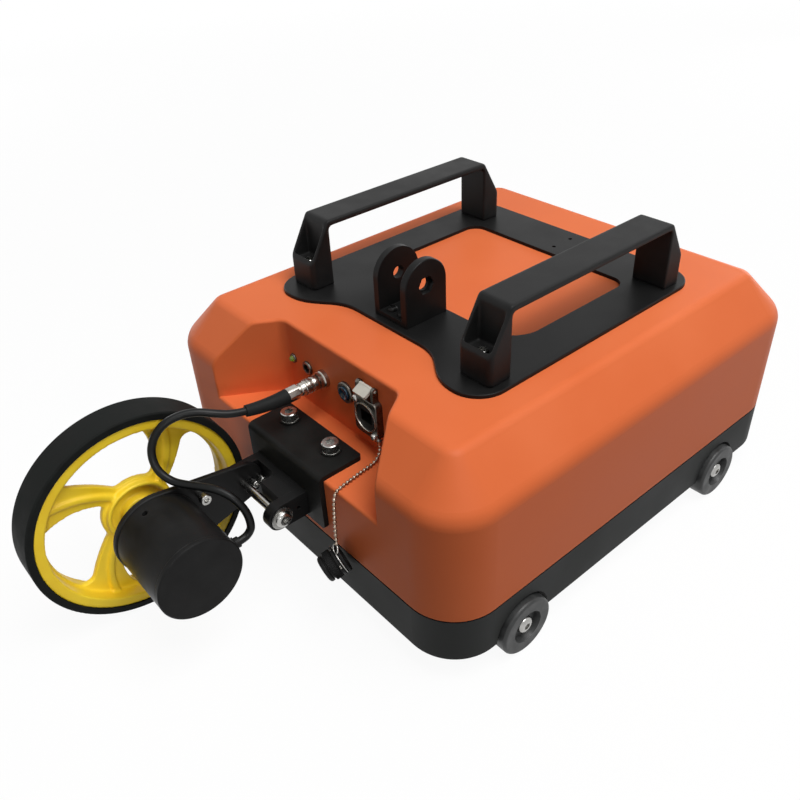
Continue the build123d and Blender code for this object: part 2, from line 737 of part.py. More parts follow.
def top_plate():
    """Flat plate on top of the box with a large window and lobes under the handles' feet."""
    bay_y = BAY_DEPTH - PLATE_HALF_LENGTH
    outline = Polyline(
        (-PLATE_HALF_WIDTH, PLATE_HALF_LENGTH), (PLATE_HALF_WIDTH, PLATE_HALF_LENGTH),
        (PLATE_HALF_WIDTH, -PLATE_HALF_LENGTH), (LOBE_INNER, -PLATE_HALF_LENGTH),
        (BAY_HALF, bay_y), (-BAY_HALF, bay_y),
        (-LOBE_INNER, -PLATE_HALF_LENGTH), (-PLATE_HALF_WIDTH, -PLATE_HALF_LENGTH), close=True)
    plan = make_face(outline)
    corners = [v for v in plan.vertices() if abs(v.X) > PLATE_HALF_WIDTH - NEAR]
    plan = fillet(corners, PLATE_CORNER)
    bends = [v for v in plan.vertices() if abs(v.X) < LOBE_INNER + NEAR]
    half_turn = atan2(BAY_DEPTH, BAY_SLOPE) / 2
    room = min(LOBE_WIDTH - PLATE_CORNER, hypot(BAY_SLOPE, BAY_DEPTH) / 2) - NEAR
    plan = fillet(bends, min(BAY_ROUND, room / tan(half_turn)))
    window = Rectangle(2 * WINDOW_HALF, WINDOW_BACK_Y - WINDOW_FRONT_Y)
    window = fillet(window.vertices().group_by(Axis.Y)[0], WINDOW_FRONT_CORNER)
    window = fillet(window.vertices().group_by(Axis.Y)[-1], WINDOW_BACK_CORNER)
    plan -= Pos(0, (WINDOW_FRONT_Y + WINDOW_BACK_Y) / 2) * window
    for x, y in handle_screw_spots() + tow_screw_spots():
        plan -= Pos(x, y) * Circle(M5_SHANK + SCREW_CLEARANCE)
    for j in SIDES:
        plan -= Pos(0, ACCESSORY_Y + j * ACCESSORY_SPACING / 2) * Circle(ACCESSORY_RADIUS)
    plate = extrude(plan, PLATE_THICKNESS)
    rim = plate.faces().sort_by(Axis.Z)[-1].outer_wire().edges()
    return Pos(0, 0, BOX_TOP) * chamfer(rim, PLATE_EDGE)


def handle(side):
    """Bridge handle: two legs with slanted outer ends, a flat bar and sunk screws."""
    outer = HANDLE_HALF_LENGTH
    inner = outer - HANDLE_LEG
    crown = outer - HANDLE_SLANT
    under = HANDLE_HEIGHT - HANDLE_BAR
    outline = Polyline(
        (-outer, 0), (-outer, HANDLE_KNEE), (-crown, HANDLE_HEIGHT), (crown, HANDLE_HEIGHT),
        (outer, HANDLE_KNEE), (outer, 0), (inner, 0), (inner, under), (-inner, under), (-inner, 0),
        close=True)
    bridge = extrude(Plane.YZ * make_face(outline), HANDLE_WIDTH / 2, both=True)
    armpits = [e for e in bridge.edges().filter_by(Axis.X)
               if abs(e.center().Z - under) < NEAR and abs(abs(e.center().Y) - inner) < NEAR]
    bridge = fillet(armpits, HANDLE_INNER_ROUND)
    crowns = [e for e in bridge.edges().filter_by(Axis.X)
              if abs(e.center().Z - HANDLE_HEIGHT) < NEAR and abs(abs(e.center().Y) - crown) < NEAR]
    bridge = fillet(crowns, HANDLE_CROWN_ROUND)
    feet = [e for e in bridge.edges().filter_by(Axis.Z) if abs(abs(e.center().Y) - outer) < NEAR]
    bridge = fillet(feet, HANDLE_FOOT_ROUND)
    crest = [e for e in bridge.edges().filter_by(Axis.Y)
             if e.center().Z > under + NEAR and abs(abs(e.center().X) - HANDLE_WIDTH / 2) < NEAR]
    bridge = fillet(crest, HANDLE_EDGE)
    depth = HANDLE_LEG - RECESS_LIP - RECESS_BACK
    for j in SIDES:
        recess = extrude(RectangleRounded(RECESS_WIDTH, depth, RECESS_CORNER), HANDLE_HEIGHT)
        bridge -= Pos(0, j * (outer - RECESS_LIP - depth / 2), RECESS_FLOOR) * recess
        seat = Pos(0, j * HANDLE_SCREW_Y, HANDLE_SCREW_SEAT)
        bridge -= seat * rod(M5_HEAD + HEAD_GAP, HANDLE_HEIGHT)
        bridge -= seat * drop(M5_SHANK + SCREW_CLEARANCE, HANDLE_SCREW_SEAT)
    return Pos(side * HANDLE_X, 0, PLATE_TOP) * bridge


def handle_screws():
    """Cap screws through the handles' feet and the plate into the housing."""
    length = HANDLE_SCREW_SEAT + PLATE_THICKNESS + WALL + BOSS_DEPTH - 2 * TIP_GAP
    screw = socket_screw(M5_SHANK, length, M5_HEAD, M5_HEAD_HEIGHT, M5_SOCKET)
    return group(Pos(x, y, PLATE_TOP + HANDLE_SCREW_SEAT) * screw for x, y in handle_screw_spots())


def tow_clevis():
    """Clevis for a tow bar: two angle brackets foot to foot, with a nut recess in the right one."""
    half = TOW_LENGTH / 2
    ear = Rectangle(TOW_LENGTH, TOW_PIN_HEIGHT, align=(Align.CENTER, Align.MIN))
    ear += Pos(0, TOW_PIN_HEIGHT) * Circle(half)
    block = extrude(Plane.YZ * ear, TOW_WIDTH / 2, both=True)
    gap = TOW_WIDTH - 2 * TOW_EAR
    block -= Pos(0, 0, TOW_BASE) * Box(gap, 2 * TOW_LENGTH, 2 * TOW_PIN_HEIGHT, align=UPRIGHT)
    block -= Pos(-TOW_WIDTH, 0, TOW_PIN_HEIGHT) * TO_RIGHT * rod(TOW_PIN_RADIUS, 2 * TOW_WIDTH)
    nut = Pos(TOW_WIDTH / 2, 0, TOW_PIN_HEIGHT) * TO_LEFT * Rot(0, 0, 90) * hexagon(
        TOW_NUT_FLATS, TOW_NUT_DEPTH)
    block -= nut
    for x, y in tow_screw_spots():
        block -= Pos(x - TOW_X, y - TOW_Y, 0) * rod(M5_SHANK + SCREW_CLEARANCE, TOW_BASE)
    rims = [e for e in block.edges() if abs(abs(e.center().X) - TOW_WIDTH / 2) < NEAR
            and e.center().Z > TOW_BASE and hypot(e.center().Y, e.center().Z - TOW_PIN_HEIGHT) > half / 2]
    block = chamfer(rims, TOW_EDGE)
    block -= Box(TOW_SEAM, 2 * TOW_LENGTH, 2 * TOW_PIN_HEIGHT)
    return Pos(TOW_X, TOW_Y, PLATE_TOP) * block


def tow_screws():
    """Button-head screws in the feet of the clevis."""
    length = TOW_BASE + PLATE_THICKNESS + WALL + BOSS_DEPTH - 2 * TIP_GAP
    screw = button_screw(M5_SHANK, length, M5_HEAD, M5_BUTTON_HEIGHT, M5_SOCKET)
    return group(Pos(x, y, PLATE_TOP + TOW_BASE) * screw for x, y in tow_screw_spots())


def on_panel(x, z):
    """Place on the panel: local z points out of the panel, local y up."""
    return Pos(x, PANEL, z) * TO_FRONT


def light_bezel():
    """Holder of the status light."""
    holder = rod(LIGHT_FLANGE_RADIUS, LIGHT_FLANGE)
    holder = fillet(holder.edges().group_by(Axis.Z)[-1], LIGHT_FLANGE / 2)
    holder += drop(LIGHT_BARREL_RADIUS, BARREL_LENGTH)
    holder -= Pos(0, 0, LIGHT_FLANGE - LENS_SEAT) * rod(LENS_RADIUS + PANEL_CLEARANCE / 2, LENS_SEAT)
    return on_panel(LIGHT_X, LIGHT_Z) * holder


def panel_bezels():
    """Bezels of the status light and of the charging jack."""
    return group([light_bezel(), jack_ring()])


def light_lens():
    """Domed lens of the status light."""
    lens = rod(LENS_RADIUS, LENS_SEAT + LENS_RISE)
    lens = fillet(lens.edges().group_by(Axis.Z)[-1], LENS_DOME)
    return on_panel(LIGHT_X, LIGHT_Z) * Pos(0, 0, LIGHT_FLANGE - LENS_SEAT) * lens


def jack_ring():
    """Round bezel and barrel of the charging jack."""
    ring = rod(JACK_FLANGE_RADIUS, JACK_FLANGE)
    ring = fillet(ring.edges().group_by(Axis.Z)[-1], JACK_FLANGE / 2)
    ring += drop(JACK_BARREL_RADIUS, BARREL_LENGTH)
    bore = Pos(0, 0, -BARREL_LENGTH + NUT_HEIGHT) * rod(JACK_CORE_RADIUS, 2 * BARREL_LENGTH)
    return on_panel(JACK_X, JACK_Z) * (ring - bore)


def jack_core():
    """Insulator of the charging jack with its hole and centre pin."""
    bottom = -BARREL_LENGTH + NUT_HEIGHT
    height = JACK_FLANGE - JACK_CORE_BACK - bottom
    core = Pos(0, 0, bottom) * rod(JACK_CORE_RADIUS - PANEL_CLEARANCE / 2, height)
    top = bottom + height
    hole = rod(JACK_HOLE_RADIUS, JACK_HOLE_DEPTH) - rod(JACK_PIN_RADIUS, JACK_HOLE_DEPTH - JACK_PIN_BACK)
    return on_panel(JACK_X, JACK_Z) * (core - Pos(0, 0, top - JACK_HOLE_DEPTH) * hole)


def button_bezel():
    """Chromed ring and switch barrel of the power button."""
    ring = rod(BUTTON_BEZEL_RADIUS, BUTTON_BEZEL)
    ring = fillet(ring.edges().group_by(Axis.Z)[-1], BUTTON_BEZEL / 2)
    ring += drop(BUTTON_BARREL_RADIUS, BARREL_LENGTH)
    depth = BUTTON_CAP_BODY - BUTTON_CAP_RISE + BUTTON_TRAVEL + BUTTON_UNDER_GAP
    bore = Pos(0, 0, BUTTON_BEZEL - depth) * rod(BUTTON_CAP_RADIUS + BUTTON_CAP_GAP, 2 * depth)
    return on_panel(BUTTON_X, BUTTON_Z) * (ring - bore)


def button_cap():
    """Sprung button with a hollowed face."""
    cap = rod(BUTTON_CAP_RADIUS, BUTTON_CAP_BODY)
    cap = fillet(cap.edges().group_by(Axis.Z)[-1], BUTTON_CAP_EDGE)
    curve = BUTTON_DISH_RADIUS ** 2 / (2 * BUTTON_CAP_DISH) + BUTTON_CAP_DISH / 2
    cap -= Pos(0, 0, BUTTON_CAP_BODY - BUTTON_CAP_DISH + curve) * Sphere(curve)
    lift = BUTTON_BEZEL + BUTTON_CAP_RISE - BUTTON_CAP_BODY
    return on_panel(BUTTON_X, BUTTON_Z) * Pos(0, 0, lift) * cap


def panel_nuts():
    """Nuts behind the panel on the barrels of light, jack, socket and button."""
    nuts = []
    for x, z, radius in panel_holes()[:4]:
        nut = hexagon(2 * (radius + NUT_RIM), NUT_HEIGHT) - rod(radius + PANEL_CLEARANCE / 2, NUT_HEIGHT)
        nuts.append(on_panel(x, z) * Pos(0, 0, -WALL - NUT_HEIGHT) * nut)
    return group(nuts)


def encoder_socket():
    """Panel socket of the push-pull connector."""
    socket = rod(SOCKET_FLANGE_RADIUS, SOCKET_FLANGE)
    socket = chamfer(socket.edges().group_by(Axis.Z)[-1], SOCKET_CHAMFER)
    socket += Pos(0, 0, SOCKET_FLANGE) * rod(SOCKET_NOSE_RADIUS, SOCKET_NOSE)
    socket += drop(SOCKET_BARREL_RADIUS, BARREL_LENGTH)
    depth = SOCKET_FLANGE + SOCKET_NOSE - PLUG_SEAT
    return on_panel(SOCKET_X, SOCKET_Z) * (
        socket - Pos(0, 0, PLUG_SEAT) * rod(PLUG_CORE_RADIUS + PANEL_CLEARANCE, depth))


def encoder_plug():
    """Core of the cable plug with its back nut."""
    core = Pos(0, 0, PLUG_SEAT) * rod(PLUG_CORE_RADIUS, BACKNUT_START - PLUG_SEAT)
    nut = rod(BACKNUT_RADIUS, BACKNUT_LENGTH) & hexagon(BACKNUT_FLATS, BACKNUT_LENGTH)
    return on_panel(SOCKET_X, SOCKET_Z) * (core + Pos(0, 0, BACKNUT_START) * nut)


def plug_sleeve():
    """Grooved outer sleeve that is drawn back to unlatch the plug."""
    sleeve = rod(SLEEVE_RADIUS, SLEEVE_LENGTH)
    sleeve = chamfer(sleeve.edges().filter_by(GeomType.CIRCLE), SLEEVE_GROOVE)
    sleeve -= rod(PLUG_CORE_RADIUS + SLEEVE_RUNNING, SLEEVE_LENGTH)
    pitch = 2 * SLEEVE_GROOVE_WIDTH
    for k in range(SLEEVE_GROOVES):
        groove = rod(2 * SLEEVE_RADIUS, SLEEVE_GROOVE_WIDTH)
        groove -= rod(SLEEVE_RADIUS - SLEEVE_GROOVE, SLEEVE_GROOVE_WIDTH)
        sleeve -= Pos(0, 0, SLEEVE_LENGTH - (k + 1.5) * pitch) * groove
    return on_panel(SOCKET_X, SOCKET_Z) * Pos(0, 0, SLEEVE_START) * sleeve


def along_boot(share):
    """Place on the boot's bent middle line, local z along it; share 0 at the root, 1 at the tip."""
    bow = BOOT_LENGTH / radians(BOOT_BEND)
    angle = BOOT_BEND * share
    rise = bow * (1 - cos(radians(angle)))
    reach = bow * sin(radians(angle))
    root = on_panel(SOCKET_X, SOCKET_Z) * Pos(0, 0, BOOT_START) * Rot(0, 0, BOOT_LEAN)
    return root * Pos(0, rise, reach) * Rot(-angle, 0, 0)


def plug_boot():
    """Tapered rubber boot behind the plug, bent with the cable."""
    sections = []
    for share in (0, 0.5, 1):
        radius = BOOT_ROOT_RADIUS + share * (BOOT_TIP_RADIUS - BOOT_ROOT_RADIUS)
        sections.append(along_boot(share) * Circle(radius))
    return loft(sections)


def route_tube(points, diameter):
    """Round tube along straight runs joined by tangent arcs; also its length and arc radii."""
    corners = [Vector(*p) for p in points]
    radii = []
    for before, here, after in zip(corners, corners[1:], corners[2:]):
        inward = here - before
        onward = after - here
        turn = radians(inward.get_angle(onward))
        radii.append(0.45 * min(inward.length, onward.length) / tan(turn / 2))
    path = FilletPolyline(*corners, radius=radii)
    section = Plane(corners[0], z_dir=corners[1] - corners[0]) * Circle(diameter / 2)
    return sweep(section, path), path.length, radii


def cable_route():
    """Corner points of the cable: out of the boot, round its loop and down into the gland."""
    tip = along_boot(1)
    lead = tip * Pos(0, 0, CABLE_LEAD)
    return [
        tuple(tip.position),
        tuple(lead.position),
        (-28.9, -239.3, 159.8),
        (-35.4, -249.4, 163.2),
        (-40.5, -260.6, 163.2),
        (-42.6, -273.1, 160.4),
        (-44.0, -281.9, 151.2),
        (-42.8, -286.5, 139.9),
        (-36.5, -286.7, 129.3),
        (-27.7, -281.8, 122.3),
        (-17.2, -274.4, 121.4),
        (-6.3, -267.8, 122.6),
        (4.1, -261.2, 121.6),
        (12.8, -255.4, 115.4),
        (18.5, -251.6, 105.0),
        (GLAND_X, GLAND_END_Y + HOOK_TOP_REACH, AXLE_Z + HOOK_TOP_RISE),
        (GLAND_X, GLAND_END_Y + HOOK_BEND_REACH, AXLE_Z + HOOK_BEND_RISE),
        (GLAND_X, GLAND_END_Y + HOOK_RUN, AXLE_Z),
        (GLAND_X, GLAND_END_Y, AXLE_Z),
    ]


def net_place():
    return on_panel(NET_X, NET_Z)


def network_block():
    """Metal block of the network connector with its barrel, front ring and latch lugs."""
    block = extrude(RectangleRounded(NET_WIDTH, NET_HEIGHT, NET_CORNER), NET_BLOCK)
    block = fillet(block.faces().sort_by(Axis.Z)[-1].edges(), NET_EDGE)
    block += Pos(0, 0, NET_BLOCK) * rod(NET_RING_RADIUS, NET_RING)
    block += drop(NET_BARREL_RADIUS, NET_BARREL_LENGTH)
    bore_bottom = NET_STEP - NET_BARREL_LENGTH
    block -= Pos(0, 0, bore_bottom) * rod(NET_BORE_RADIUS, NET_BARREL_LENGTH + NET_BLOCK + NET_RING)
    block -= Pos(0, 0, -NET_BARREL_LENGTH) * rod(NET_STEP_RADIUS, NET_BARREL_LENGTH)
    for i in SIDES:
        beside = LATCH_WIDTH / 2 + LATCH_SIDE_GAP + LATCH_LUG / 2
        block += latch_place() * Pos(i * beside, 0, 0) * latch_lug()
        spot = Pos(i * NET_SCREW_X, -i * NET_SCREW_Y, 0)
        block -= spot * rod(M3_SHANK + SCREW_CLEARANCE, NET_BLOCK)
    return net_place() * block


def latch_place():
    """Pivot line of the latch above the block: local z out of the panel, local y up."""
    return Pos(0, NET_HEIGHT / 2 + LATCH_PIVOT_HEIGHT, LATCH_PIVOT_OUT)


def latch_lug():
    """Lug beside the latch with the pivot's bore."""
    tall = LATCH_PIVOT_HEIGHT + LATCH_LUG_ROOT
    lug = Box(LATCH_LUG, tall, 2 * LATCH_LUG_RADIUS, align=(Align.CENTER, Align.MAX, Align.CENTER))
    lug += Pos(-LATCH_LUG / 2, 0, 0) * TO_RIGHT * rod(LATCH_LUG_RADIUS, LATCH_LUG)
    return lug - Pos(-LATCH_LUG, 0, 0) * TO_RIGHT * rod(LATCH_PIVOT_RADIUS + LATCH_RUNNING, 2 * LATCH_LUG)


def network_latch():
    """Press-down latch tab turning on a cross pin between the lugs."""
    pin_length = LATCH_WIDTH + 2 * (LATCH_SIDE_GAP + LATCH_PIN_SEAT)
    pin = Pos(-pin_length / 2, 0, 0) * TO_RIGHT * rod(LATCH_PIVOT_RADIUS, pin_length)
    tab = Box(LATCH_WIDTH, LATCH_THICKNESS, LATCH_LENGTH, align=UPRIGHT)
    tab = fillet(tab.edges().filter_by(Axis.Y), LATCH_CORNER)
    tab = Rot(LATCH_TILT, 0, 0) * Pos(0, 0, -LATCH_PIVOT_RADIUS) * tab
    return net_place() * latch_place() * (tab + pin)


def network_core():
    """Insulating core of the network connector with its jack opening."""
    bottom = NET_STEP - NET_BARREL_LENGTH
    top = NET_BLOCK + NET_RING - NET_CORE_BACK
    core = Pos(0, 0, bottom) * rod(NET_BORE_RADIUS - NET_CORE_GAP, top - bottom)
    opening = Box(JACK_OPENING_WIDTH, JACK_OPENING_HEIGHT, 2 * JACK_OPENING_DEPTH)
    return net_place() * (core - Pos(0, 0, top) * opening)


def network_screws():
    """Two diagonal screws of the network connector, the lower one over the chain's tab."""
    length = NET_BLOCK + WALL + NET_SCREW_TAIL
    screw = button_screw(M3_SHANK, length, M3_HEAD, M3_HEAD_HEIGHT, M3_SOCKET)
    upper = Pos(-NET_SCREW_X, NET_SCREW_Y, NET_BLOCK) * screw
    lower = Pos(NET_SCREW_X, -NET_SCREW_Y, NET_BLOCK + TAB_THICKNESS) * screw
    return group([net_place() * upper, net_place() * lower])


def chain_tab():
    """Tab under the connector's lower screw with the coupling of the ball chain."""
    tab = rod(TAB_RADIUS, TAB_THICKNESS)
    tab += Box(TAB_ARM, COUPLING_RADIUS, TAB_THICKNESS, align=(Align.MIN, Align.CENTER, Align.MIN))
    tab -= rod(M3_SHANK + SCREW_CLEARANCE, TAB_THICKNESS)
    tab += Pos(TAB_ARM, 0, TAB_THICKNESS / 2) * TO_FRONT * rod(COUPLING_RADIUS, COUPLING_LENGTH)
    return net_place() * Pos(NET_SCREW_X, -NET_SCREW_Y, NET_BLOCK) * tab


def cap_place():
    """Place of the hanging dust cap: local z runs from its front end to its mouth."""
    return Pos(CAP_X, FRONT - CAP_OFF, CAP_Z) * Rot(0, 0, -CAP_TURN) * Rot(CAP_TILT, 0, 0) * TO_BACK


def dust_cap():
    """Turned cap with a coned front end, a groove for its wire and a hollow mouth."""
    half = CAP_LENGTH / 2
    cap = Pos(0, 0, CAP_CONE - half) * rod(CAP_RADIUS, CAP_LENGTH - CAP_CONE)
    cap += Pos(0, 0, -half) * Cone(CAP_FRONT_RADIUS, CAP_RADIUS, CAP_CONE, align=UPRIGHT)
    groove = rod(2 * CAP_RADIUS, CAP_GROOVE_WIDTH) - rod(CAP_RADIUS - CAP_GROOVE, CAP_GROOVE_WIDTH)
    cap -= Pos(0, 0, half - CAP_GROOVE_BACK) * groove
    cap -= Pos(0, 0, half - CAP_BORE_DEPTH) * rod(CAP_BORE_RADIUS, CAP_BORE_DEPTH)
    return cap_place() * cap


def cap_groove_place():
    """Middle of the cap's groove: local -y points to the wire's eye."""
    height = CAP_LENGTH / 2 - CAP_GROOVE_BACK + CAP_GROOVE_WIDTH / 2
    return cap_place() * Pos(0, 0, height) * Rot(0, 0, CAP_EYE_ROLL)


def cap_eye_place():
    """Middle of the wire's eye, bent back from the groove towards the chain."""
    top = cap_groove_place() * Pos(0, -CAP_HOOP_RADIUS, 0)
    return top * Rot(-CAP_EYE_BEND, 0, 0) * Pos(0, -CAP_EYE_RADIUS, 0)


def cap_wire():
    """Wire ring in the cap's groove with the eye that the chain holds."""
    hoop = cap_groove_place() * Torus(CAP_HOOP_RADIUS, CAP_WIRE)
    return hoop + cap_eye_place() * Torus(CAP_EYE_RADIUS, CAP_WIRE)


def chain_fittings():
    """The chain's two end fittings: the screwed tab and the cap's wire ring."""
    return group([chain_tab(), cap_wire()])


def chain_route():
    """Corner points of the chain: down from the tab, along the ledge, over the edge to the eye."""
    eye = cap_eye_place() * Pos(0, -CAP_EYE_RADIUS, 0)
    return [
        (CHAIN_START_X, CHAIN_START_Y, CHAIN_START_Z),
        (CHAIN_START_X, CHAIN_START_Y, CHAIN_START_Z - CHAIN_LEAD),
        (53.2, -158.2, 123.8),
        (54.0, -163.2, CHAIN_LEDGE_Z),
        (55.0, -172.5, CHAIN_LEDGE_Z),
        (56.5, -184.5, CHAIN_LEDGE_Z),
        (58.0, -195.0, CHAIN_LEDGE_Z + 0.1),
        (58.8, -201.8, CHAIN_LEDGE_Z - 0.5),
        (59.6, -205.0, CHAIN_LEDGE_Z - 5.8),
        (61.8, -207.4, 103.5),
        (64.3, -210.0, 91.8),
        tuple(eye.position),
    ]


def hinge_bracket():
    """Bent plate on the ledge whose front flange carries the hinge."""
    back = BRACKET_FRONT + BRACKET_DEPTH
    outline = Polyline(
        (back, LEDGE), (back, BRACKET_TOP), (BRACKET_FRONT, BRACKET_TOP), (BRACKET_FRONT, BRACKET_FOOT),
        (BRACKET_FRONT + BRACKET_THICKNESS, BRACKET_FOOT), (BRACKET_FRONT + BRACKET_THICKNESS, LEDGE),
        close=True)
    plate = Pos(BRACKET_X, 0, 0) * extrude(Plane.YZ * make_face(outline), BRACKET_HALF, both=True)
    bend = [e for e in plate.edges().filter_by(Axis.X)
            if abs(e.center().Y - BRACKET_FRONT) < NEAR and abs(e.center().Z - BRACKET_TOP) < NEAR]
    plate = fillet(bend, BRACKET_BEND)
    corners = [e for e in plate.edges().filter_by(Axis.Z) if abs(e.center().Y - back) < NEAR]
    corners += [e for e in plate.edges().filter_by(Axis.Y) if abs(e.center().Z - BRACKET_FOOT) < NEAR]
    plate = fillet(corners, BRACKET_CORNER)
    for x, y in bracket_screw_spots():
        plate -= Pos(x, y, LEDGE) * rod(M8_SHANK + SCREW_CLEARANCE, BRACKET_THICKNESS)
    for i in SIDES:
        plate -= flat_screw_place(i) * flat_screw(SCREW_CLEARANCE)
    return plate


def flat_screw_place(i):
    """Place of a countersunk screw in the back of the bracket's flange."""
    return Pos(HINGE_X + i * FLAT_SCREW_X, BRACKET_FRONT + BRACKET_THICKNESS, PIVOT_Z) * TO_BACK


def flat_screw(grow):
    """Countersunk screw, its head flush with z = 0, widened by GROW to make its hole."""
    length = BRACKET_THICKNESS + HINGE_WEB - TIP_GAP / 2
    head = Pos(0, 0, -FLAT_HEAD) * Cone(
        M4_SHANK + grow, FLAT_HEAD_RADIUS + grow / 3, FLAT_HEAD, align=UPRIGHT)
    return head + drop(M4_SHANK + grow, length)


def bracket_screws():
    """Cap screws on washers that hold the bracket to the ledge."""
    length = WASHER_THICKNESS + BRACKET_THICKNESS + WALL + BOSS_DEPTH - 2 * TIP_GAP
    screw = socket_screw(M8_SHANK, length, M8_HEAD, M8_HEAD_HEIGHT, M8_SOCKET)
    return group(Pos(x, y, BRACKET_TOP + WASHER_THICKNESS) * screw for x, y in bracket_screw_spots())


def bracket_washers():
    """Washers under the bracket's screw heads."""
    washer = rod(WASHER_RADIUS, WASHER_THICKNESS) - rod(M8_SHANK + SCREW_CLEARANCE, WASHER_THICKNESS)
    return group(Pos(x, y, BRACKET_TOP) * washer for x, y in bracket_screw_spots())


def hinge_clevis():
    """Clevis with two round-ended ears on the bracket's flange."""
    ear = Pos(PIVOT_REACH / 2, 0) * Rectangle(PIVOT_REACH, 2 * HINGE_RADIUS) + Circle(HINGE_RADIUS)
    block = Pos(HINGE_X, PIVOT_Y, PIVOT_Z) * extrude(Plane.YZ * ear, HINGE_WIDTH / 2, both=True)
    gap = HINGE_WIDTH - 2 * HINGE_EAR
    slot = Box(gap, PIVOT_REACH + 2 * HINGE_RADIUS, 3 * HINGE_RADIUS,
               align=(Align.CENTER, Align.MAX, Align.CENTER))
    block -= Pos(HINGE_X, BRACKET_FRONT - HINGE_WEB, PIVOT_Z) * slot
    across = Pos(EAR_LEFT, PIVOT_Y, PIVOT_Z) * TO_RIGHT
    block -= across * rod(PIVOT_RADIUS + PIVOT_RUNNING, HINGE_WIDTH)
    pin = Pos(EAR_RIGHT, BRACKET_FRONT - PIN_HOLE_REACH, PIVOT_Z) * TO_LEFT
    block -= pin * rod(PIN_HOLE_RADIUS, HINGE_EAR)
    for i in SIDES:
        block -= flat_screw_place(i) * drop(M4_SHANK + SCREW_CLEARANCE, BRACKET_THICKNESS + HINGE_WEB)
    return block


def clevis_screws():
    """Countersunk screws from behind the flange into the clevis web."""
    return group(flat_screw_place(i) * flat_screw(0) for i in SIDES)


def stop_block():
    """Block in the right half of the clevis behind the pivot."""
    block = Box(STOP_WIDTH, STOP_DEPTH, 2 * HINGE_RADIUS, align=(Align.MAX, Align.MAX, Align.CENTER))
    return Pos(EAR_RIGHT - HINGE_EAR, BRACKET_FRONT - HINGE_WEB, PIVOT_Z) * block


def pivot_shaft():
    """Pivot rod through arm and ears, with a head outside the left ear and a tapped right end."""
    start = EAR_LEFT - PIVOT_END_GAP
    end = EAR_RIGHT + PIVOT_END_GAP
    shaft = rod(PIVOT_RADIUS, end - start) + drop(PIVOT_HEAD_RADIUS, PIVOT_HEAD)
    shaft = chamfer(shaft.edges().group_by(Axis.Z)[0], ARM_EDGE)
    shaft -= Pos(0, 0, end - start) * drop(M4_SHANK + SCREW_CLEARANCE, PIVOT_TAP)
    return Pos(start, PIVOT_Y, PIVOT_Z) * TO_RIGHT * shaft


def pivot_washer():
    """Washer on the right end of the pivot rod."""
    washer = rod(PIVOT_WASHER_RADIUS, WASHER_THICKNESS) - rod(M4_SHANK + SCREW_CLEARANCE, WASHER_THICKNESS)
    return Pos(EAR_RIGHT + PIVOT_END_GAP, PIVOT_Y, PIVOT_Z) * TO_RIGHT * washer


def pivot_screw():
    """Button-head screw that keeps the washer on the pivot rod."""
    screw = button_screw(
        M4_SHANK, WASHER_THICKNESS + PIVOT_TAP - TIP_GAP, PIVOT_BUTTON_RADIUS, PIVOT_BUTTON, M5_SOCKET)
    return Pos(EAR_RIGHT + PIVOT_END_GAP + WASHER_THICKNESS, PIVOT_Y, PIVOT_Z) * TO_RIGHT * screw


def mount_screw_spots():
    """Places on the arm of the screws into the encoder, as angles about the axle."""
    return [polar(MOUNT_SCREW_CIRCLE_RADIUS, 90 + 120 * k) for k in range(3)]


def polar(radius, angle):
    return (radius * cos(radians(angle)), radius * sin(radians(angle)))


def at_axle(x):
    """Place on the wheel axle: local z points right, local x down."""
    return Pos(x, AXLE_Y, AXLE_Z) * TO_RIGHT


def wheel_arm():
    """Flat arm beside the clevis's left ear, from the pivot to the encoder."""
    pivot = (AXLE_Z - PIVOT_Z, PIVOT_Y - AXLE_Y)
    plan = make_hull(
        Circle(ARM_WHEEL_RADIUS).edges() + (Pos(*pivot) * Circle(ARM_PIVOT_RADIUS)).edges())
    plan -= Circle(ARM_SHAFT_HOLE)
    plan -= Pos(*pivot) * Circle(PIVOT_RADIUS + PIVOT_RUNNING)
    plan -= Pos(*post_spot()) * Circle(M5_SHANK + SCREW_CLEARANCE)
    for spot in arm_screw_spots():
        plan -= Pos(*spot) * Circle(M3_SHANK + SCREW_CLEARANCE)
    for spot in mount_screw_spots():
        plan -= Pos(*spot) * Circle(M4_SHANK + SCREW_CLEARANCE)
    arm = extrude(plan, ARM_THICKNESS)
    rims = arm.faces().sort_by(Axis.Z)[-1].outer_wire().edges()
    rims += arm.faces().sort_by(Axis.Z)[0].outer_wire().edges()
    return at_axle(ARM_BACK) * chamfer(rims, ARM_EDGE)


def post_spot():
    """Place on the arm of its shoulder screw, in the axle's frame."""
    return (AXLE_Z - PIVOT_Z - POST_RISE, PIVOT_Y - AXLE_Y - POST_REACH)


def arm_screw_spots():
    """Places on the arm of the two cap screws behind the pivot, in the axle's frame."""
    return [(AXLE_Z - PIVOT_Z, PIVOT_Y - AXLE_Y + reach) for reach in ARM_SCREW_REACHES]


def arm_screws():
    """Shoulder screw and two cap screws standing on the arm's right face."""
    post = rod(POST_SHOULDER, POST_SHOULDER_LENGTH) + drop(M5_SHANK, ARM_THICKNESS)
    head = socket_screw(M5_SHANK, POST_SHOULDER_LENGTH, M5_HEAD, M5_HEAD_HEIGHT, M5_SOCKET)
    pieces = [Pos(*post_spot()) * (post + Pos(0, 0, POST_SHOULDER_LENGTH) * head)]
    length = ARM_SCREW_STANDOFF + ARM_THICKNESS - TIP_GAP / 2
    screw = socket_screw(M3_SHANK, length, ARM_SCREW_HEAD, M4_HEAD_HEIGHT, M4_SOCKET)
    pieces += [Pos(*spot, ARM_SCREW_STANDOFF) * screw for spot in arm_screw_spots()]
    return group(at_axle(ARM_FACE) * piece for piece in pieces)


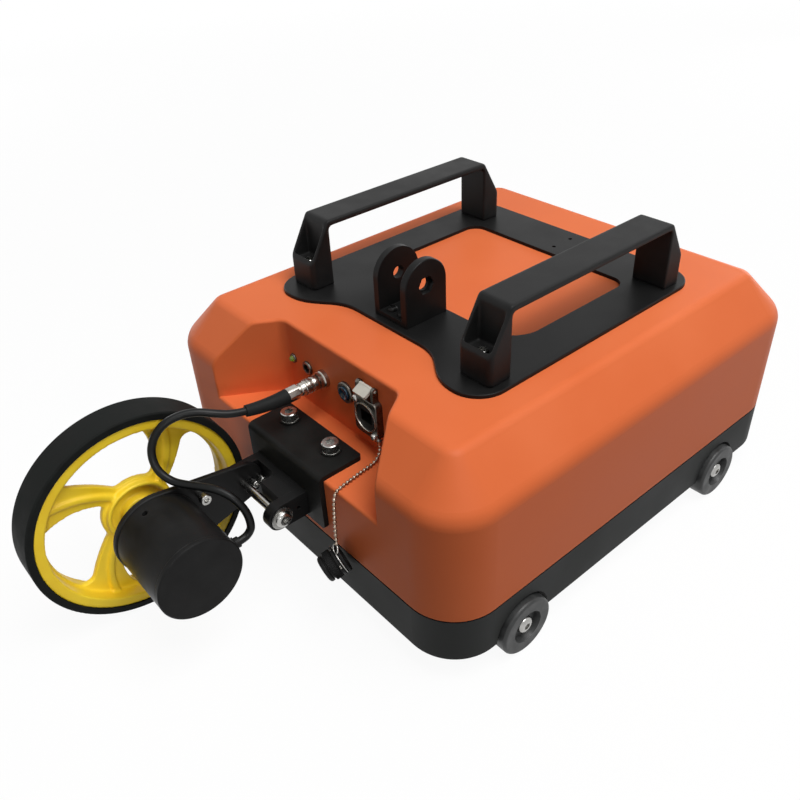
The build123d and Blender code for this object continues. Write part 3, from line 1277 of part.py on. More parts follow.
def mount_screws():
    """Screws through the arm into the encoder's housing."""
    screw = Rot(180, 0, 0) * socket_screw(
        M4_SHANK, ARM_THICKNESS + MOUNT_SCREW_DEPTH, M4_HEAD, M4_HEAD_HEIGHT, M4_SOCKET)
    return group(at_axle(ARM_BACK) * Pos(*spot) * screw for spot in mount_screw_spots())


def encoder_housing():
    """Round encoder housing with bearing bore, board posts, grub holes and the gland's flat."""
    cavity = CAVITY_X - ARM_FACE
    body = rod(ENCODER_RADIUS, ENCODER_LENGTH)
    inner = ENCODER_RADIUS - ENCODER_WALL
    hollow = Pos(0, 0, cavity) * rod(inner, ENCODER_LENGTH)
    post = rod(POST_RADIUS, BOARD_X - ARM_FACE)
    for k in range(3):
        hollow -= Pos(*polar(POST_CIRCLE_RADIUS, 30 + 120 * k)) * post
    body -= hollow
    body -= rod(BEARING_RADIUS, BEARING_BORE)
    body -= rod(SHAFT_RADIUS + SHAFT_HOLE_GAP, ENCODER_LENGTH)
    for spot in mount_screw_spots():
        body -= Pos(*spot) * rod(M4_SHANK + SCREW_CLEARANCE, MOUNT_SCREW_DEPTH + TIP_GAP)
    for angle in GRUB_HOLE_ANGLES:
        hole = Rot(0, 0, 180 + angle) * Pos(ENCODER_RADIUS, 0, GRUB_HOLE_INSET) * TO_LEFT
        body -= hole * rod(GRUB_HOLE_RADIUS, 2 * ENCODER_WALL)
    body = at_axle(ARM_FACE) * body
    flat = Pos(GLAND_X, GLAND_SEAT_Y, AXLE_Z) * TO_BACK
    body -= flat * rod(GLAND_SEAT_RADIUS, 2 * GLAND_FLAT)
    return body - flat * drop(GLAND_SPIGOT_RADIUS + SCREW_CLEARANCE, 2 * ENCODER_WALL)


def encoder_cap():
    """Flat end cap with a spigot in the housing's bore."""
    cap = rod(ENCODER_RADIUS, ENCODER_CAP)
    cap = chamfer(cap.edges().group_by(Axis.Z)[-1], ARM_EDGE)
    spigot = ENCODER_RADIUS - ENCODER_WALL - CAP_FIT
    cap += drop(spigot, CAP_SPIGOT) - drop(spigot - ENCODER_WALL, CAP_SPIGOT)
    return at_axle(ENCODER_END) * cap


def encoder_bearings():
    """Two ball bearings and the spacer between them, in the housing's bore."""
    bore = SHAFT_RADIUS + BEARING_RUNNING
    outside = BEARING_RADIUS - BEARING_FIT
    race = rod(outside, BEARING_WIDTH) - rod(bore, BEARING_WIDTH)
    spacer = rod(outside, BEARING_SPACE) - rod(BEARING_RADIUS - SPACER_WALL, BEARING_SPACE)
    pieces = [race, Pos(0, 0, BEARING_WIDTH) * spacer, Pos(0, 0, BEARING_WIDTH + BEARING_SPACE) * race]
    return group(at_axle(ARM_FACE) * piece for piece in pieces)


def encoder_board():
    """Round board on the housing's posts with the sensor that faces the code disc."""
    board = rod(BOARD_RADIUS, BOARD_THICKNESS)
    sensor = Box(SENSOR_SIZE, SENSOR_SIZE, SENSOR_SIZE / 2, align=(Align.CENTER, Align.CENTER, Align.MAX))
    return at_axle(BOARD_X) * (board + Pos(*polar(DISC_RADIUS - SENSOR_SIZE / 2, 0)) * sensor)


def code_disc():
    """Slotted disc and hub on the shaft's inner end."""
    disc = rod(DISC_RADIUS, DISC_THICKNESS) + drop(DISC_HUB_RADIUS, DISC_STANDOFF - TIP_GAP / 2)
    disc -= Pos(0, 0, -DISC_STANDOFF) * rod(SHAFT_RADIUS + SHAFT_GAP, DISC_STANDOFF)
    return at_axle(DISC_X) * disc


def cable_gland():
    """Hexagon and collar where the cable enters the encoder."""
    gland = hexagon(GLAND_FLATS, GLAND_HEX_LENGTH)
    gland += Pos(0, 0, GLAND_HEX_LENGTH) * rod(GLAND_COLLAR_RADIUS, GLAND_COLLAR_LENGTH)
    gland += drop(GLAND_SPIGOT_RADIUS, ENCODER_WALL)
    return Pos(GLAND_X, GLAND_SEAT_Y, AXLE_Z) * TO_BACK * gland


def wheel_shaft():
    """Axle shaft from the code disc to the survey wheel."""
    start = TYRE_FACE_X - SPOKE_FACE - SPOKE_THICKNESS - HUB_BACK
    return at_axle(start) * rod(SHAFT_RADIUS, DISC_X - start)


def spoke_angle(radius):
    """Angle of a spoke's middle line at RADIUS, in the axle's frame."""
    share = (radius - WINDOW_HUB_R) / (WINDOW_RIM_R - WINDOW_HUB_R)
    return SPOKE_START + SPOKE_SWEEP * share


def window_side(lead):
    """One side of a wheel window: after a spoke (lead 1) or before the next one (lead -1)."""
    step = 0 if lead > 0 else 360 / SPOKES
    widths = [(WINDOW_HUB_R, SPOKE_HUB_WIDTH), (SPOKE_MIDDLE_R, SPOKE_MIDDLE_WIDTH),
              (WINDOW_RIM_R, SPOKE_RIM_WIDTH)]
    return [(r, spoke_angle(r) + step + lead * degrees(width / 2 / r)) for r, width in widths]


def wheel_window():
    """Opening between two spokes."""
    first = window_side(1)
    second = window_side(-1)
    hub_middle = (first[0][1] + second[0][1]) / 2
    rim_middle = (first[2][1] + second[2][1]) / 2
    edges = [
        ThreePointArc(*(polar(*p) for p in first)),
        ThreePointArc(polar(*first[2]), polar(WINDOW_RIM_R, rim_middle), polar(*second[2])),
        ThreePointArc(*(polar(*p) for p in reversed(second))),
        ThreePointArc(polar(*second[0]), polar(WINDOW_HUB_R, hub_middle), polar(*first[0])),
    ]
    plan = make_face(edges)
    reach = (WINDOW_HUB_R + WINDOW_RIM_R) / 2
    near = [v for v in plan.vertices() if hypot(v.X, v.Y) < reach]
    plan = fillet(near, WINDOW_HUB_ROUND)
    far = [v for v in plan.vertices() if hypot(v.X, v.Y) > WINDOW_RIM_R - NEAR]
    return fillet(far, WINDOW_RIM_ROUND)


def survey_wheel():
    """Wheel with a deep rim, curved ribbed spokes and a lipped hub."""
    plan = Circle(RIM_RADIUS)
    window = wheel_window()
    for k in range(SPOKES):
        plan -= Rot(0, 0, k * 360 / SPOKES) * window
    web = Pos(0, 0, -SPOKE_FACE - SPOKE_THICKNESS) * extrude(plan, SPOKE_THICKNESS)
    rim = Circle(RIM_RADIUS) - Circle(RIM_RADIUS - RIM_DEPTH)
    wheel = web + Pos(0, 0, RIM_INSET - TYRE_WIDTH) * extrude(rim, TYRE_WIDTH - 2 * RIM_INSET)
    middle = (HUB_RADIUS + RIM_RADIUS - RIM_DEPTH) / 2
    ends = (HUB_RADIUS - RIB_ROOT, middle, RIM_RADIUS - RIM_DEPTH + RIB_ROOT)
    rib = trace(ThreePointArc(*(polar(r, spoke_angle(r)) for r in ends)), RIB_WIDTH)
    for k in range(SPOKES):
        wheel += Pos(0, 0, -SPOKE_FACE) * extrude(Rot(0, 0, k * 360 / SPOKES) * rib, RIB_RISE)
    lip = Circle(HUB_RADIUS) - Circle(HUB_RADIUS - HUB_LIP)
    wheel += Pos(0, 0, -SPOKE_FACE) * extrude(lip, HUB_LIP_RISE)
    back = -SPOKE_FACE - SPOKE_THICKNESS - HUB_BACK
    wheel += Pos(0, 0, back) * rod(HUB_BOSS_RADIUS, -HUB_BOSS_FACE - back)
    wheel -= Pos(0, 0, back) * rod(SHAFT_RADIUS + SHAFT_GAP, TYRE_WIDTH)
    for spot in flange_screw_spots():
        wheel -= Pos(*spot, -HUB_BOSS_FACE) * drop(M3_SHANK + SCREW_CLEARANCE, HUB_TAP)
    return at_axle(TYRE_FACE_X) * wheel


def flange_screw_spots():
    return [polar(FLANGE_SCREW_CIRCLE_RADIUS, 180 + 360 * k / FLANGE_SCREWS) for k in range(FLANGE_SCREWS)]


def survey_tyre():
    """Rubber tyre with a flat tread."""
    tyre = drop(SURVEY_RADIUS, TYRE_WIDTH)
    tyre = fillet(tyre.edges().filter_by(GeomType.CIRCLE), TYRE_EDGE)
    return at_axle(TYRE_FACE_X) * (tyre - drop(RIM_RADIUS, TYRE_WIDTH))


def hub_flange():
    """Flanged collar that carries the wheel on its shaft."""
    flange = rod(FLANGE_RADIUS, FLANGE_THICKNESS)
    flange += Pos(0, 0, FLANGE_THICKNESS) * rod(COLLAR_RADIUS, COLLAR_LENGTH)
    flange -= rod(SHAFT_RADIUS + SHAFT_GAP, FLANGE_THICKNESS + COLLAR_LENGTH)
    for spot in flange_screw_spots():
        flange -= Pos(*spot) * rod(M3_SHANK + SCREW_CLEARANCE, FLANGE_THICKNESS)
        flange -= Pos(*spot, FLANGE_THICKNESS) * rod(M3_HEAD + SCREW_CLEARANCE, COLLAR_LENGTH)
    return at_axle(TYRE_FACE_X - HUB_BOSS_FACE) * flange


def hub_screws():
    """Screws through the flange into the wheel's hub."""
    screw = socket_screw(
        M3_SHANK, FLANGE_THICKNESS + HUB_TAP - TIP_GAP, M3_HEAD, M3_HEAD_HEIGHT, M3_SOCKET)
    place = at_axle(TYRE_FACE_X - HUB_BOSS_FACE + FLANGE_THICKNESS)
    return group(place * Pos(*spot) * screw for spot in flange_screw_spots())


def antenna_board():
    """Board with the two bow-tie antennas, on the tray's pads."""
    board = Box(ANTENNA_WIDTH, ANTENNA_LENGTH, ANTENNA_THICKNESS, align=UPRIGHT)
    return Pos(0, 0, FLOOR_TOP + PAD_RISE) * board


def shield_can():
    """Open-bottomed metal can over the antennas, with standoffs for the radar board."""
    can = Box(CAN_WIDTH, CAN_LENGTH, CAN_HEIGHT, align=UPRIGHT)
    inner = Box(CAN_WIDTH - 2 * CAN_WALL, CAN_LENGTH - 2 * CAN_WALL, CAN_HEIGHT - CAN_WALL, align=UPRIGHT)
    divider = Box(CAN_WIDTH, CAN_WALL, CAN_HEIGHT, align=UPRIGHT)
    can = can - inner + divider
    for i in SIDES:
        for j in SIDES:
            x = i * (RADAR_WIDTH / 2 - STANDOFF_MARGIN)
            y = RADAR_Y + j * (RADAR_LENGTH / 2 - STANDOFF_MARGIN)
            can += Pos(x, y, CAN_HEIGHT) * rod(STANDOFF_RADIUS, STANDOFF_HEIGHT)
    return Pos(0, 0, ANTENNA_TOP) * can


def radar_board():
    """Control board with its main chips."""
    board = Box(RADAR_WIDTH, RADAR_LENGTH, RADAR_THICKNESS, align=UPRIGHT)
    for j in SIDES:
        chip = Box(CHIP_SIZE, CHIP_SIZE, CHIP_HEIGHT, align=UPRIGHT)
        board += Pos(0, j * CHIP_SIZE, RADAR_THICKNESS) * chip
    return Pos(0, RADAR_Y, RADAR_BOTTOM) * board


def battery_pack():
    """Battery block on the shield can."""
    pack = Box(BATTERY_WIDTH, BATTERY_LENGTH, BATTERY_HEIGHT, align=UPRIGHT)
    pack = fillet(pack.edges().filter_by(Axis.Z), BATTERY_EDGE)
    return Pos(0, BATTERY_Y, CAN_TOP) * pack


def save(node, shape):
    """Write one node, moved from the box's frame to the machine's."""
    export_step(Pos(0, ORIGIN_SHIFT, 0) * shape, f"parts/{node}.step")


def save_tube(node, points, diameter):
    """Write a cord and print its arc radii, its length and its volume beside section times length."""
    tube, length, radii = route_tube(points, diameter)
    save(node, tube)
    section = pi * diameter ** 2 / 4
    print(node, "points", [tuple(round(c, 1) for c in p) for p in points])
    print(node, "radii", [round(r, 1) for r in radii])
    print(node, "length", round(length, 1), "volume", round(tube.volume), "expected", round(section * length))


os.makedirs("parts", exist_ok=True)
save("top_housing", top_housing())
save("base_tray", base_tray())
save("seam_gasket", seam_gasket())
save("tray_screws", tray_screws())
for name, (wheel_side, wheel_y) in WHEEL_SPOTS.items():
    save("side_wheel_" + name, side_wheel(wheel_side, wheel_y))
save("axle_screws", axle_screws())
save("top_plate", top_plate())
save("handle_left", handle(-1))
save("handle_right", handle(1))
save("handle_screws", handle_screws())
save("tow_clevis", tow_clevis())
save("tow_screws", tow_screws())
save("panel_bezels", panel_bezels())
save("light_lens", light_lens())
save("jack_core", jack_core())
save("button_bezel", button_bezel())
save("button_cap", button_cap())
save("panel_nuts", panel_nuts())
save("encoder_socket", encoder_socket())
save("encoder_plug", encoder_plug())
save("plug_sleeve", plug_sleeve())
save("plug_boot", plug_boot())
save_tube("encoder_cable", cable_route(), CABLE_DIAMETER)
save("network_block", network_block())
save("network_latch", network_latch())
save("network_core", network_core())
save("network_screws", network_screws())
save("chain_fittings", chain_fittings())
save_tube("ball_chain", chain_route(), CHAIN_DIAMETER)
save("dust_cap", dust_cap())
save("hinge_bracket", hinge_bracket())
save("bracket_screws", bracket_screws())
save("bracket_washers", bracket_washers())
save("hinge_clevis", hinge_clevis())
save("clevis_screws", clevis_screws())
save("stop_block", stop_block())
save("pivot_shaft", pivot_shaft())
save("pivot_washer", pivot_washer())
save("pivot_screw", pivot_screw())
save("wheel_arm", wheel_arm())
save("arm_screws", arm_screws())
save("mount_screws", mount_screws())
save("encoder_housing", encoder_housing())
save("encoder_cap", encoder_cap())
save("encoder_bearings", encoder_bearings())
save("encoder_board", encoder_board())
save("code_disc", code_disc())
save("cable_gland", cable_gland())
save("wheel_shaft", wheel_shaft())
save("survey_wheel", survey_wheel())
save("survey_tyre", survey_tyre())
save("hub_flange", hub_flange())
save("hub_screws", hub_screws())
save("antenna_board", antenna_board())
save("shield_can", shield_can())
save("radar_board", radar_board())
save("battery_pack", battery_pack())
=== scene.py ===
import bpy
import json
from math import cos, pi, radians, sin
from mathutils import Matrix, Vector
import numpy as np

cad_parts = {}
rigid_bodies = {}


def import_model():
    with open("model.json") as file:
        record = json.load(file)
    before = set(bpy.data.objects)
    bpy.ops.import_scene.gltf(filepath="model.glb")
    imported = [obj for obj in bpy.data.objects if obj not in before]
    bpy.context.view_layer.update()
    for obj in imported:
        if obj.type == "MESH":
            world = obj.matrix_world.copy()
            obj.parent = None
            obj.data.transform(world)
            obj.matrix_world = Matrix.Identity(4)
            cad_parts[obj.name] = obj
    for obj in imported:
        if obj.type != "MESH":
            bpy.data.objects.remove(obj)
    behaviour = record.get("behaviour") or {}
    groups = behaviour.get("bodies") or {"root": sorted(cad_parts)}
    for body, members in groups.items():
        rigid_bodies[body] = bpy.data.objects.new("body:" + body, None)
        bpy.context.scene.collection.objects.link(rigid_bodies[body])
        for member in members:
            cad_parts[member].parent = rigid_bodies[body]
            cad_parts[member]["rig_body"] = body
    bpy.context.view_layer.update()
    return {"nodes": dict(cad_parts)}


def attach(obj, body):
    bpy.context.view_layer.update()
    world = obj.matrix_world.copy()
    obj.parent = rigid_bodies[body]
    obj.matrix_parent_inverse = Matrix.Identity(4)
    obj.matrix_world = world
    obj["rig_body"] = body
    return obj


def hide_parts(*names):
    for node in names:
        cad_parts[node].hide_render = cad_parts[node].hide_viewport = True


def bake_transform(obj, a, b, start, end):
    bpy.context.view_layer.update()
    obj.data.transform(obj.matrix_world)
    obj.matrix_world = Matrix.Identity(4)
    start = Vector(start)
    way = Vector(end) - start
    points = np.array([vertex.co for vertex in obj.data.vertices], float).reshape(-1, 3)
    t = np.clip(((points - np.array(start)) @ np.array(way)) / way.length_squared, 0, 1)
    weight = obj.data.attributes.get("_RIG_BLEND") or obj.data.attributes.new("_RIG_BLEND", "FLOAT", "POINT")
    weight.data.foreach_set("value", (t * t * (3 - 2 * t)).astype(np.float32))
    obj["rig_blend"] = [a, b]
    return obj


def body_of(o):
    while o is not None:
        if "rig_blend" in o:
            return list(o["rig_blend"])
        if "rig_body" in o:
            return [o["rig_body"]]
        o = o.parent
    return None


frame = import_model()
nodes = frame["nodes"]


# Camera: a hand-held view from the front right, looking down on the machine at 35 degrees and
# turned a little out of level. The picture is square, with the lens axis through its middle.
def put(name, data):
    """Adds an object with this data to the scene."""
    holder = bpy.data.objects.new(name, data)
    bpy.context.scene.collection.objects.link(holder)
    return holder


yaw, pitch, roll = radians(50.9), radians(35.4), radians(-3.1)
camera_place = (0.4154, -0.3377, 0.4935)
picture_pixels = 800
focal_pixels = 807.1
toward = Vector((cos(pitch) * sin(yaw), -cos(pitch) * cos(yaw), sin(pitch)))
level = Vector((cos(yaw), sin(yaw), 0.0))
upright = toward.cross(level)
right = cos(roll) * level + sin(roll) * upright
up = cos(roll) * upright - sin(roll) * level
lens = bpy.data.cameras.new("camera")
lens.sensor_width = 36.0
lens.lens = lens.sensor_width * focal_pixels / picture_pixels
camera = put("camera", lens)
turn = Matrix((right, up, toward)).transposed()
camera.matrix_world = Matrix.Translation(camera_place) @ turn.to_4x4()
bpy.context.scene.camera = camera
bpy.context.scene.view_settings.view_transform = "Standard"


# Encoder cable: round black PVC cable from the plug's boot, in a free loop, to the encoder's gland.
# The jacket is extruded round the cores, and the boot and the gland hold its ends.
def smooth_line(name, route, radius):
    """Mesh of a NURBS line along a route, with a round section; sizes in millimetres."""
    curve = bpy.data.curves.new(name, "CURVE")
    curve.dimensions = "3D"
    curve.resolution_u = 16
    spline = curve.splines.new("NURBS")
    spline.points.add(len(route) - 1)
    for point, spot in zip(spline.points, route):
        point.co = (*(c / 1000 for c in spot), 1.0)
    spline.order_u = 3
    spline.use_endpoint_u = True
    curve.bevel_depth = radius / 1000
    curve.bevel_resolution = 6
    curve.use_fill_caps = radius > 0
    holder = put(name + "_line", curve)
    bpy.context.view_layer.update()
    mesh = bpy.data.meshes.new_from_object(holder)
    bpy.data.objects.remove(holder)
    return mesh


def line_points(name, route):
    """Points read from the NURBS line along a route."""
    mesh = smooth_line(name, route, 0)
    return [v.co.copy() for v in mesh.vertices]


def line_length(points):
    """Length of a line of points."""
    return sum((b - a).length for a, b in zip(points, points[1:]))


def srgb(code):
    """Linear colour of an sRGB hex code."""
    parts = [int(code[k:k + 2], 16) / 255 for k in (0, 2, 4)]
    return (*(c / 12.92 if c <= 0.04045 else ((c + 0.055) / 1.055) ** 2.4 for c in parts), 1.0)


def add(tree, kind, values=None, links=None, **settings):
    """Adds one shader node with its settings, socket values and links."""
    node = tree.nodes.new("ShaderNode" + kind)
    for key, value in settings.items():
        setattr(node, key, value)
    for socket, value in (values or {}).items():
        node.inputs[socket].default_value = value
    for socket, source in (links or {}).items():
        tree.links.new(source, node.inputs[socket])
    return node


def new_material(name, **values):
    """A material whose Principled shader has these values; also its tree, shader and Object place."""
    material = bpy.data.materials.new(name)
    material.use_nodes = True
    tree = material.node_tree
    shader = tree.nodes["Principled BSDF"]
    for socket, value in values.items():
        shader.inputs[socket.replace("_", " ")].default_value = value
    return material, tree, shader, add(tree, "TexCoord").outputs["Object"]


# A Mix node's sockets share their names, so its share, two colours and result are found by number.
mix_share, mix_first, mix_second, mix_result = 0, 6, 7, 2


def patchy_material(name, colours, patch_size, patch_detail=4.0, spread=(0.35, 0.65), roughness=None,
                    grain_size=None, grain_detail=2.0, grain_strength=0.1, grain_depth=0.2,
                    edge_radius=None, **values):
    """A material that drifts between two colours and two roughnesses, with a fine grain as bump.

    Sizes are in millimetres. SPREAD is the range of the noise that the drift takes up. The real grains
    are too fine to show, so they are drawn at about a millimetre. EDGE_RADIUS rounds edges in the shading.
    """
    material, tree, shader, place = new_material(name, **values)
    patch = add(tree, "TexNoise", {"Scale": 1000 / patch_size, "Detail": patch_detail}, {"Vector": place})
    drift = {"From Min": spread[0], "From Max": spread[1]}
    share = add(tree, "MapRange", drift, {"Value": patch.outputs["Fac"]})
    shade = add(tree, "Mix", {mix_first: srgb(colours[0]), mix_second: srgb(colours[1])},
                {mix_share: share.outputs["Result"]}, data_type="RGBA")
    tree.links.new(shade.outputs[mix_result], shader.inputs["Base Color"])
    if roughness:
        drift.update({"To Min": roughness[0], "To Max": roughness[1]})
        rough = add(tree, "MapRange", drift, {"Value": patch.outputs["Fac"]})
        tree.links.new(rough.outputs["Result"], shader.inputs["Roughness"])
    shape = {}
    if edge_radius:
        shape["Normal"] = add(tree, "Bevel", {"Radius": edge_radius / 1000}, samples=4).outputs["Normal"]
    if grain_size:
        grain = add(tree, "TexNoise", {"Scale": 1000 / grain_size, "Detail": grain_detail}, {"Vector": place})
        bump = add(tree, "Bump", {"Strength": grain_strength, "Distance": grain_depth / 1000},
                   {"Height": grain.outputs["Fac"], **shape})
        shape["Normal"] = bump.outputs["Normal"]
    for socket, source in shape.items():
        tree.links.new(source, shader.inputs[socket])
    return material


# PVC jacket: nearly black and dull, with faint patches where it was handled and a fine extrusion grain.
pvc = patchy_material("black_PVC_jacket", ("0C0D0D", "131414"), patch_size=12, patch_detail=3.0,
                      roughness=(0.3, 0.42), grain_size=1.0, grain_strength=0.08,
                      IOR=1.53, Specular_IOR_Level=0.16)
cable_radius = 3.0
cable_route = [
    (-22.2, -125.8, 154.8), (-23.8, -135.5, 156.1), (-28.9, -146.8, 159.8), (-35.4, -156.9, 163.2),
    (-40.5, -168.1, 163.2), (-42.6, -180.6, 160.4), (-44.0, -189.4, 151.2), (-42.8, -194.0, 139.9),
    (-36.5, -194.2, 129.3), (-27.7, -189.3, 122.3), (-17.2, -181.9, 121.4), (-6.3, -175.3, 122.6),
    (4.1, -168.7, 121.6), (12.8, -162.9, 115.4), (18.5, -159.1, 105.0), (20.3, -158.7, 92.8),
    (20.3, -161.2, 88.2), (20.3, -165.6, 85.5), (20.3, -170.7, 85.5),
]
cable = put("cable", smooth_line("cable", cable_route, cable_radius))
cable.data.materials.append(pvc)
cable_points = line_points("cable", cable_route)
for face in cable.data.polygons:
    face.use_smooth = True
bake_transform(cable, "chassis", "arm", start=cable_points[0], end=cable_points[-1])
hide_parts("encoder_cable")


# Ball chain: hollow nickel-plated brass balls on short wire links, from the tab under the connector's
# screw over the ledge to the dust cap's wire ring. The links let it lie on the edges it passes.
def at_distance(points, distance):
    """Point on a line of points at a distance from its start, and the direction there."""
    for a, b in zip(points, points[1:]):
        step = (b - a).length
        if distance <= step:
            return a + (b - a) * (distance / step), (b - a).normalized()
        distance -= step
    return points[-1], (points[-1] - points[-2]).normalized()


def edit_all():
    """Opens the active mesh for editing, with all of it selected."""
    bpy.ops.object.mode_set(mode="EDIT")
    bpy.ops.mesh.select_all(action="SELECT")


def edit_faces(piece, chosen):
    """Opens the active piece's mesh for editing, with only the chosen faces selected."""
    bpy.ops.object.mode_set(mode="EDIT")
    bpy.ops.mesh.select_all(action="DESELECT")
    bpy.ops.object.mode_set(mode="OBJECT")
    for face in piece.data.polygons:
        face.select = chosen(face)
    bpy.ops.object.mode_set(mode="EDIT")


def join_as(name, pieces):
    """Joins pieces into one object whose place is in its mesh."""
    bpy.ops.object.select_all(action="DESELECT")
    for piece in pieces:
        piece.select_set(True)
    bpy.context.view_layer.objects.active = pieces[0]
    if len(pieces) > 1:
        bpy.ops.object.join()
    bpy.ops.object.transform_apply(location=True, rotation=True, scale=True)
    pieces[0].name = name
    return pieces[0]


# Worn nickel: warm where the brass shines through, and brighter where the balls rub.
worn_nickel = patchy_material("worn_nickel_plate", ("8A7A6B", "A89A8C"), patch_size=3,
                              roughness=(0.22, 0.36), Metallic=1.0)
ball_radius = 0.0014
ball_pitch = 0.0034
neck_height = 0.00125
link_length = 0.0014
chain_route = [
    (52.9, -63.9, 132.7), (52.9, -63.9, 128.5), (53.2, -65.7, 123.8), (54.0, -70.7, 120.4),
    (55.0, -80.0, 120.4), (56.5, -92.0, 120.4), (58.0, -102.5, 120.5), (58.8, -109.3, 119.9),
    (59.6, -112.5, 114.6), (61.8, -114.9, 103.5), (64.3, -117.5, 91.8), (67.0, -119.4, 80.2),
]
chain_points = line_points("chain", chain_route)
bpy.ops.object.select_all(action="DESELECT")
bpy.ops.mesh.primitive_uv_sphere_add(segments=14, ring_count=9, radius=ball_radius)
ball = bpy.context.object
edit_faces(ball, lambda face: face.center.z > neck_height)
bpy.ops.mesh.delete(type="FACE")
bpy.ops.mesh.select_all(action="DESELECT")
bpy.ops.mesh.select_non_manifold()
bpy.ops.mesh.extrude_region_move(TRANSFORM_OT_translate={"value": (0, 0, link_length)})
bpy.ops.mesh.edge_face_add()
bpy.ops.object.mode_set(mode="OBJECT")
bpy.ops.object.shade_smooth_by_angle(angle=radians(40))
chain_length = line_length(chain_points)
ball_span = chain_length - 2 * ball_radius
ball_count = round(ball_span / ball_pitch) + 1
ball_step = ball_span / (ball_count - 1)
balls = []
for k in range(ball_count):
    spot, ahead = at_distance(chain_points, ball_radius + k * ball_step)
    copy = put("ball", ball.data.copy())
    copy.matrix_world = Matrix.Translation(spot) @ ahead.to_track_quat("Z", "Y").to_matrix().to_4x4()
    balls.append(copy)
bpy.data.objects.remove(ball)
chain = join_as("chain", balls)
chain.data.materials.append(worn_nickel)


# Dust cap on the chain's end: turned cup of black anodised aluminium with a ribbed band to grip, four
# bright pins beside the wire's groove and a hollow mouth that fits over the connector's ring.
# It hangs from the chain by the wire ring.
merge_distance = 0.00001


def turned(profile, steps, crease):
    """Solid of revolution about Z: one vertex is extruded along a profile in millimetres, then spun."""
    bpy.ops.object.select_all(action="DESELECT")
    bpy.ops.mesh.primitive_plane_add(size=0.001)
    edit_all()
    bpy.ops.mesh.merge(type="CENTER")
    here = Vector((0, 0, 0))
    for k, (radius, height) in enumerate(profile):
        there = Vector((radius / 1000, 0, height / 1000))
        if k == 0:
            bpy.ops.transform.translate(value=there)
        else:
            bpy.ops.mesh.extrude_region_move(TRANSFORM_OT_translate={"value": there - here})
        here = there
    bpy.ops.mesh.select_all(action="SELECT")
    bpy.ops.mesh.spin(steps=steps, angle=2 * pi, center=(0, 0, 0), axis=(0, 0, 1))
    bpy.ops.mesh.select_all(action="SELECT")
    bpy.ops.mesh.remove_doubles(threshold=merge_distance)
    bpy.ops.mesh.normals_make_consistent(inside=False)
    bpy.ops.object.mode_set(mode="OBJECT")
    bpy.ops.object.shade_smooth_by_angle(angle=radians(crease))
    return bpy.context.object


# Black anodising: deep black with soft, slightly uneven lights and thin bright lines on the edges.
anodised = patchy_material("black_anodised_aluminium", ("121212", "181818"), patch_size=35,
                           roughness=(0.36, 0.46), grain_size=0.9, grain_strength=0.08, grain_depth=0.1,
                           edge_radius=0.6, Specular_IOR_Level=0.13)
# Nickel plate: bright and slightly warm, with a soft satin drift.
nickel = patchy_material("satin_nickel_plate", ("A29D95", "B2ADA6"), patch_size=4, roughness=(0.2, 0.27),
                         grain_size=0.8, grain_strength=0.015, grain_depth=0.1, Metallic=1.0)
cap_steps = 48
cap_crease = 32
cap_place = (0.0645, -0.1221, 0.062)
cap_turn, cap_tilt = radians(-16), radians(22 - 90)
grip_low, grip_high, grip_radius = -0.0034, 0.0012, 0.0105
rib_edge, rib_depth = 0.00012, 0.0005
pin_size, pin_edge = (0.001, 0.0026, 0.0013), 0.0002
pin_radius, pin_height = 0.01068, 0.0034
pin_start, pin_step, pin_count = 252, 87, 4


def in_groove(face):
    """True for every other face of the band to grip."""
    around = int((pi + Vector(face.center.xy).angle_signed(Vector((1, 0)))) / (2 * pi) * cap_steps)
    return grip_low < face.center.z < grip_high and face.center.xy.length > grip_radius and around % 2 == 0


dust_cap = turned([
    (0, -7.4), (6.6, -7.4), (7.2, -8.0), (7.6, -8.75), (8.6, -8.75), (9.6, -8.3), (10.2, -7.4), (10.2, -5.6),
    (9.2, -5.2), (9.2, -4.2), (10.9, -3.9), (11.2, -3.5), (11.2, 1.3), (10.9, 1.6), (10.3, 1.7), (10.3, 2.1),
    (11.0, 2.3), (11.2, 2.6), (11.2, 4.3), (9.9, 4.5), (9.9, 6.4), (11.2, 6.6), (11.2, 8.3), (10.8, 8.75),
    (9.6, 8.75), (9.2, 8.4), (9.2, -0.25), (0, -0.25)], cap_steps, cap_crease)
edit_faces(dust_cap, in_groove)
bpy.ops.mesh.inset(thickness=rib_edge, use_individual=True)
bpy.ops.transform.shrink_fatten(value=-rib_depth)
bpy.ops.object.mode_set(mode="OBJECT")
bpy.ops.object.shade_smooth_by_angle(angle=radians(cap_crease))
dust_cap.data.materials.append(anodised)
cap_parts = [dust_cap]
for k in range(pin_count):
    bpy.ops.object.select_all(action="DESELECT")
    bpy.ops.mesh.primitive_cube_add(size=1.0)
    pin = bpy.context.object
    bpy.ops.transform.resize(value=pin_size)
    bpy.ops.object.transform_apply(scale=True)
    edit_all()
    bpy.ops.mesh.bevel(offset=pin_edge, segments=2)
    bpy.ops.object.mode_set(mode="OBJECT")
    pin.matrix_world = (Matrix.Rotation(radians(pin_start + pin_step * k), 4, "Z")
                        @ Matrix.Translation((pin_radius, 0, pin_height)))
    pin.data.materials.append(nickel)
    cap_parts.append(pin)
dust_cap = join_as("turned_dust_cap", cap_parts)
dust_cap.data.transform(Matrix.Translation(cap_place) @ Matrix.Rotation(cap_turn, 4, "Z")
                        @ Matrix.Rotation(cap_tilt, 4, "X"))
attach(dust_cap, "chassis")
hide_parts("dust_cap")
# The chain carries its tab, the wire ring and the cap, so it is tied to the machine after them.
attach(chain, "chassis")
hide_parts("ball_chain")


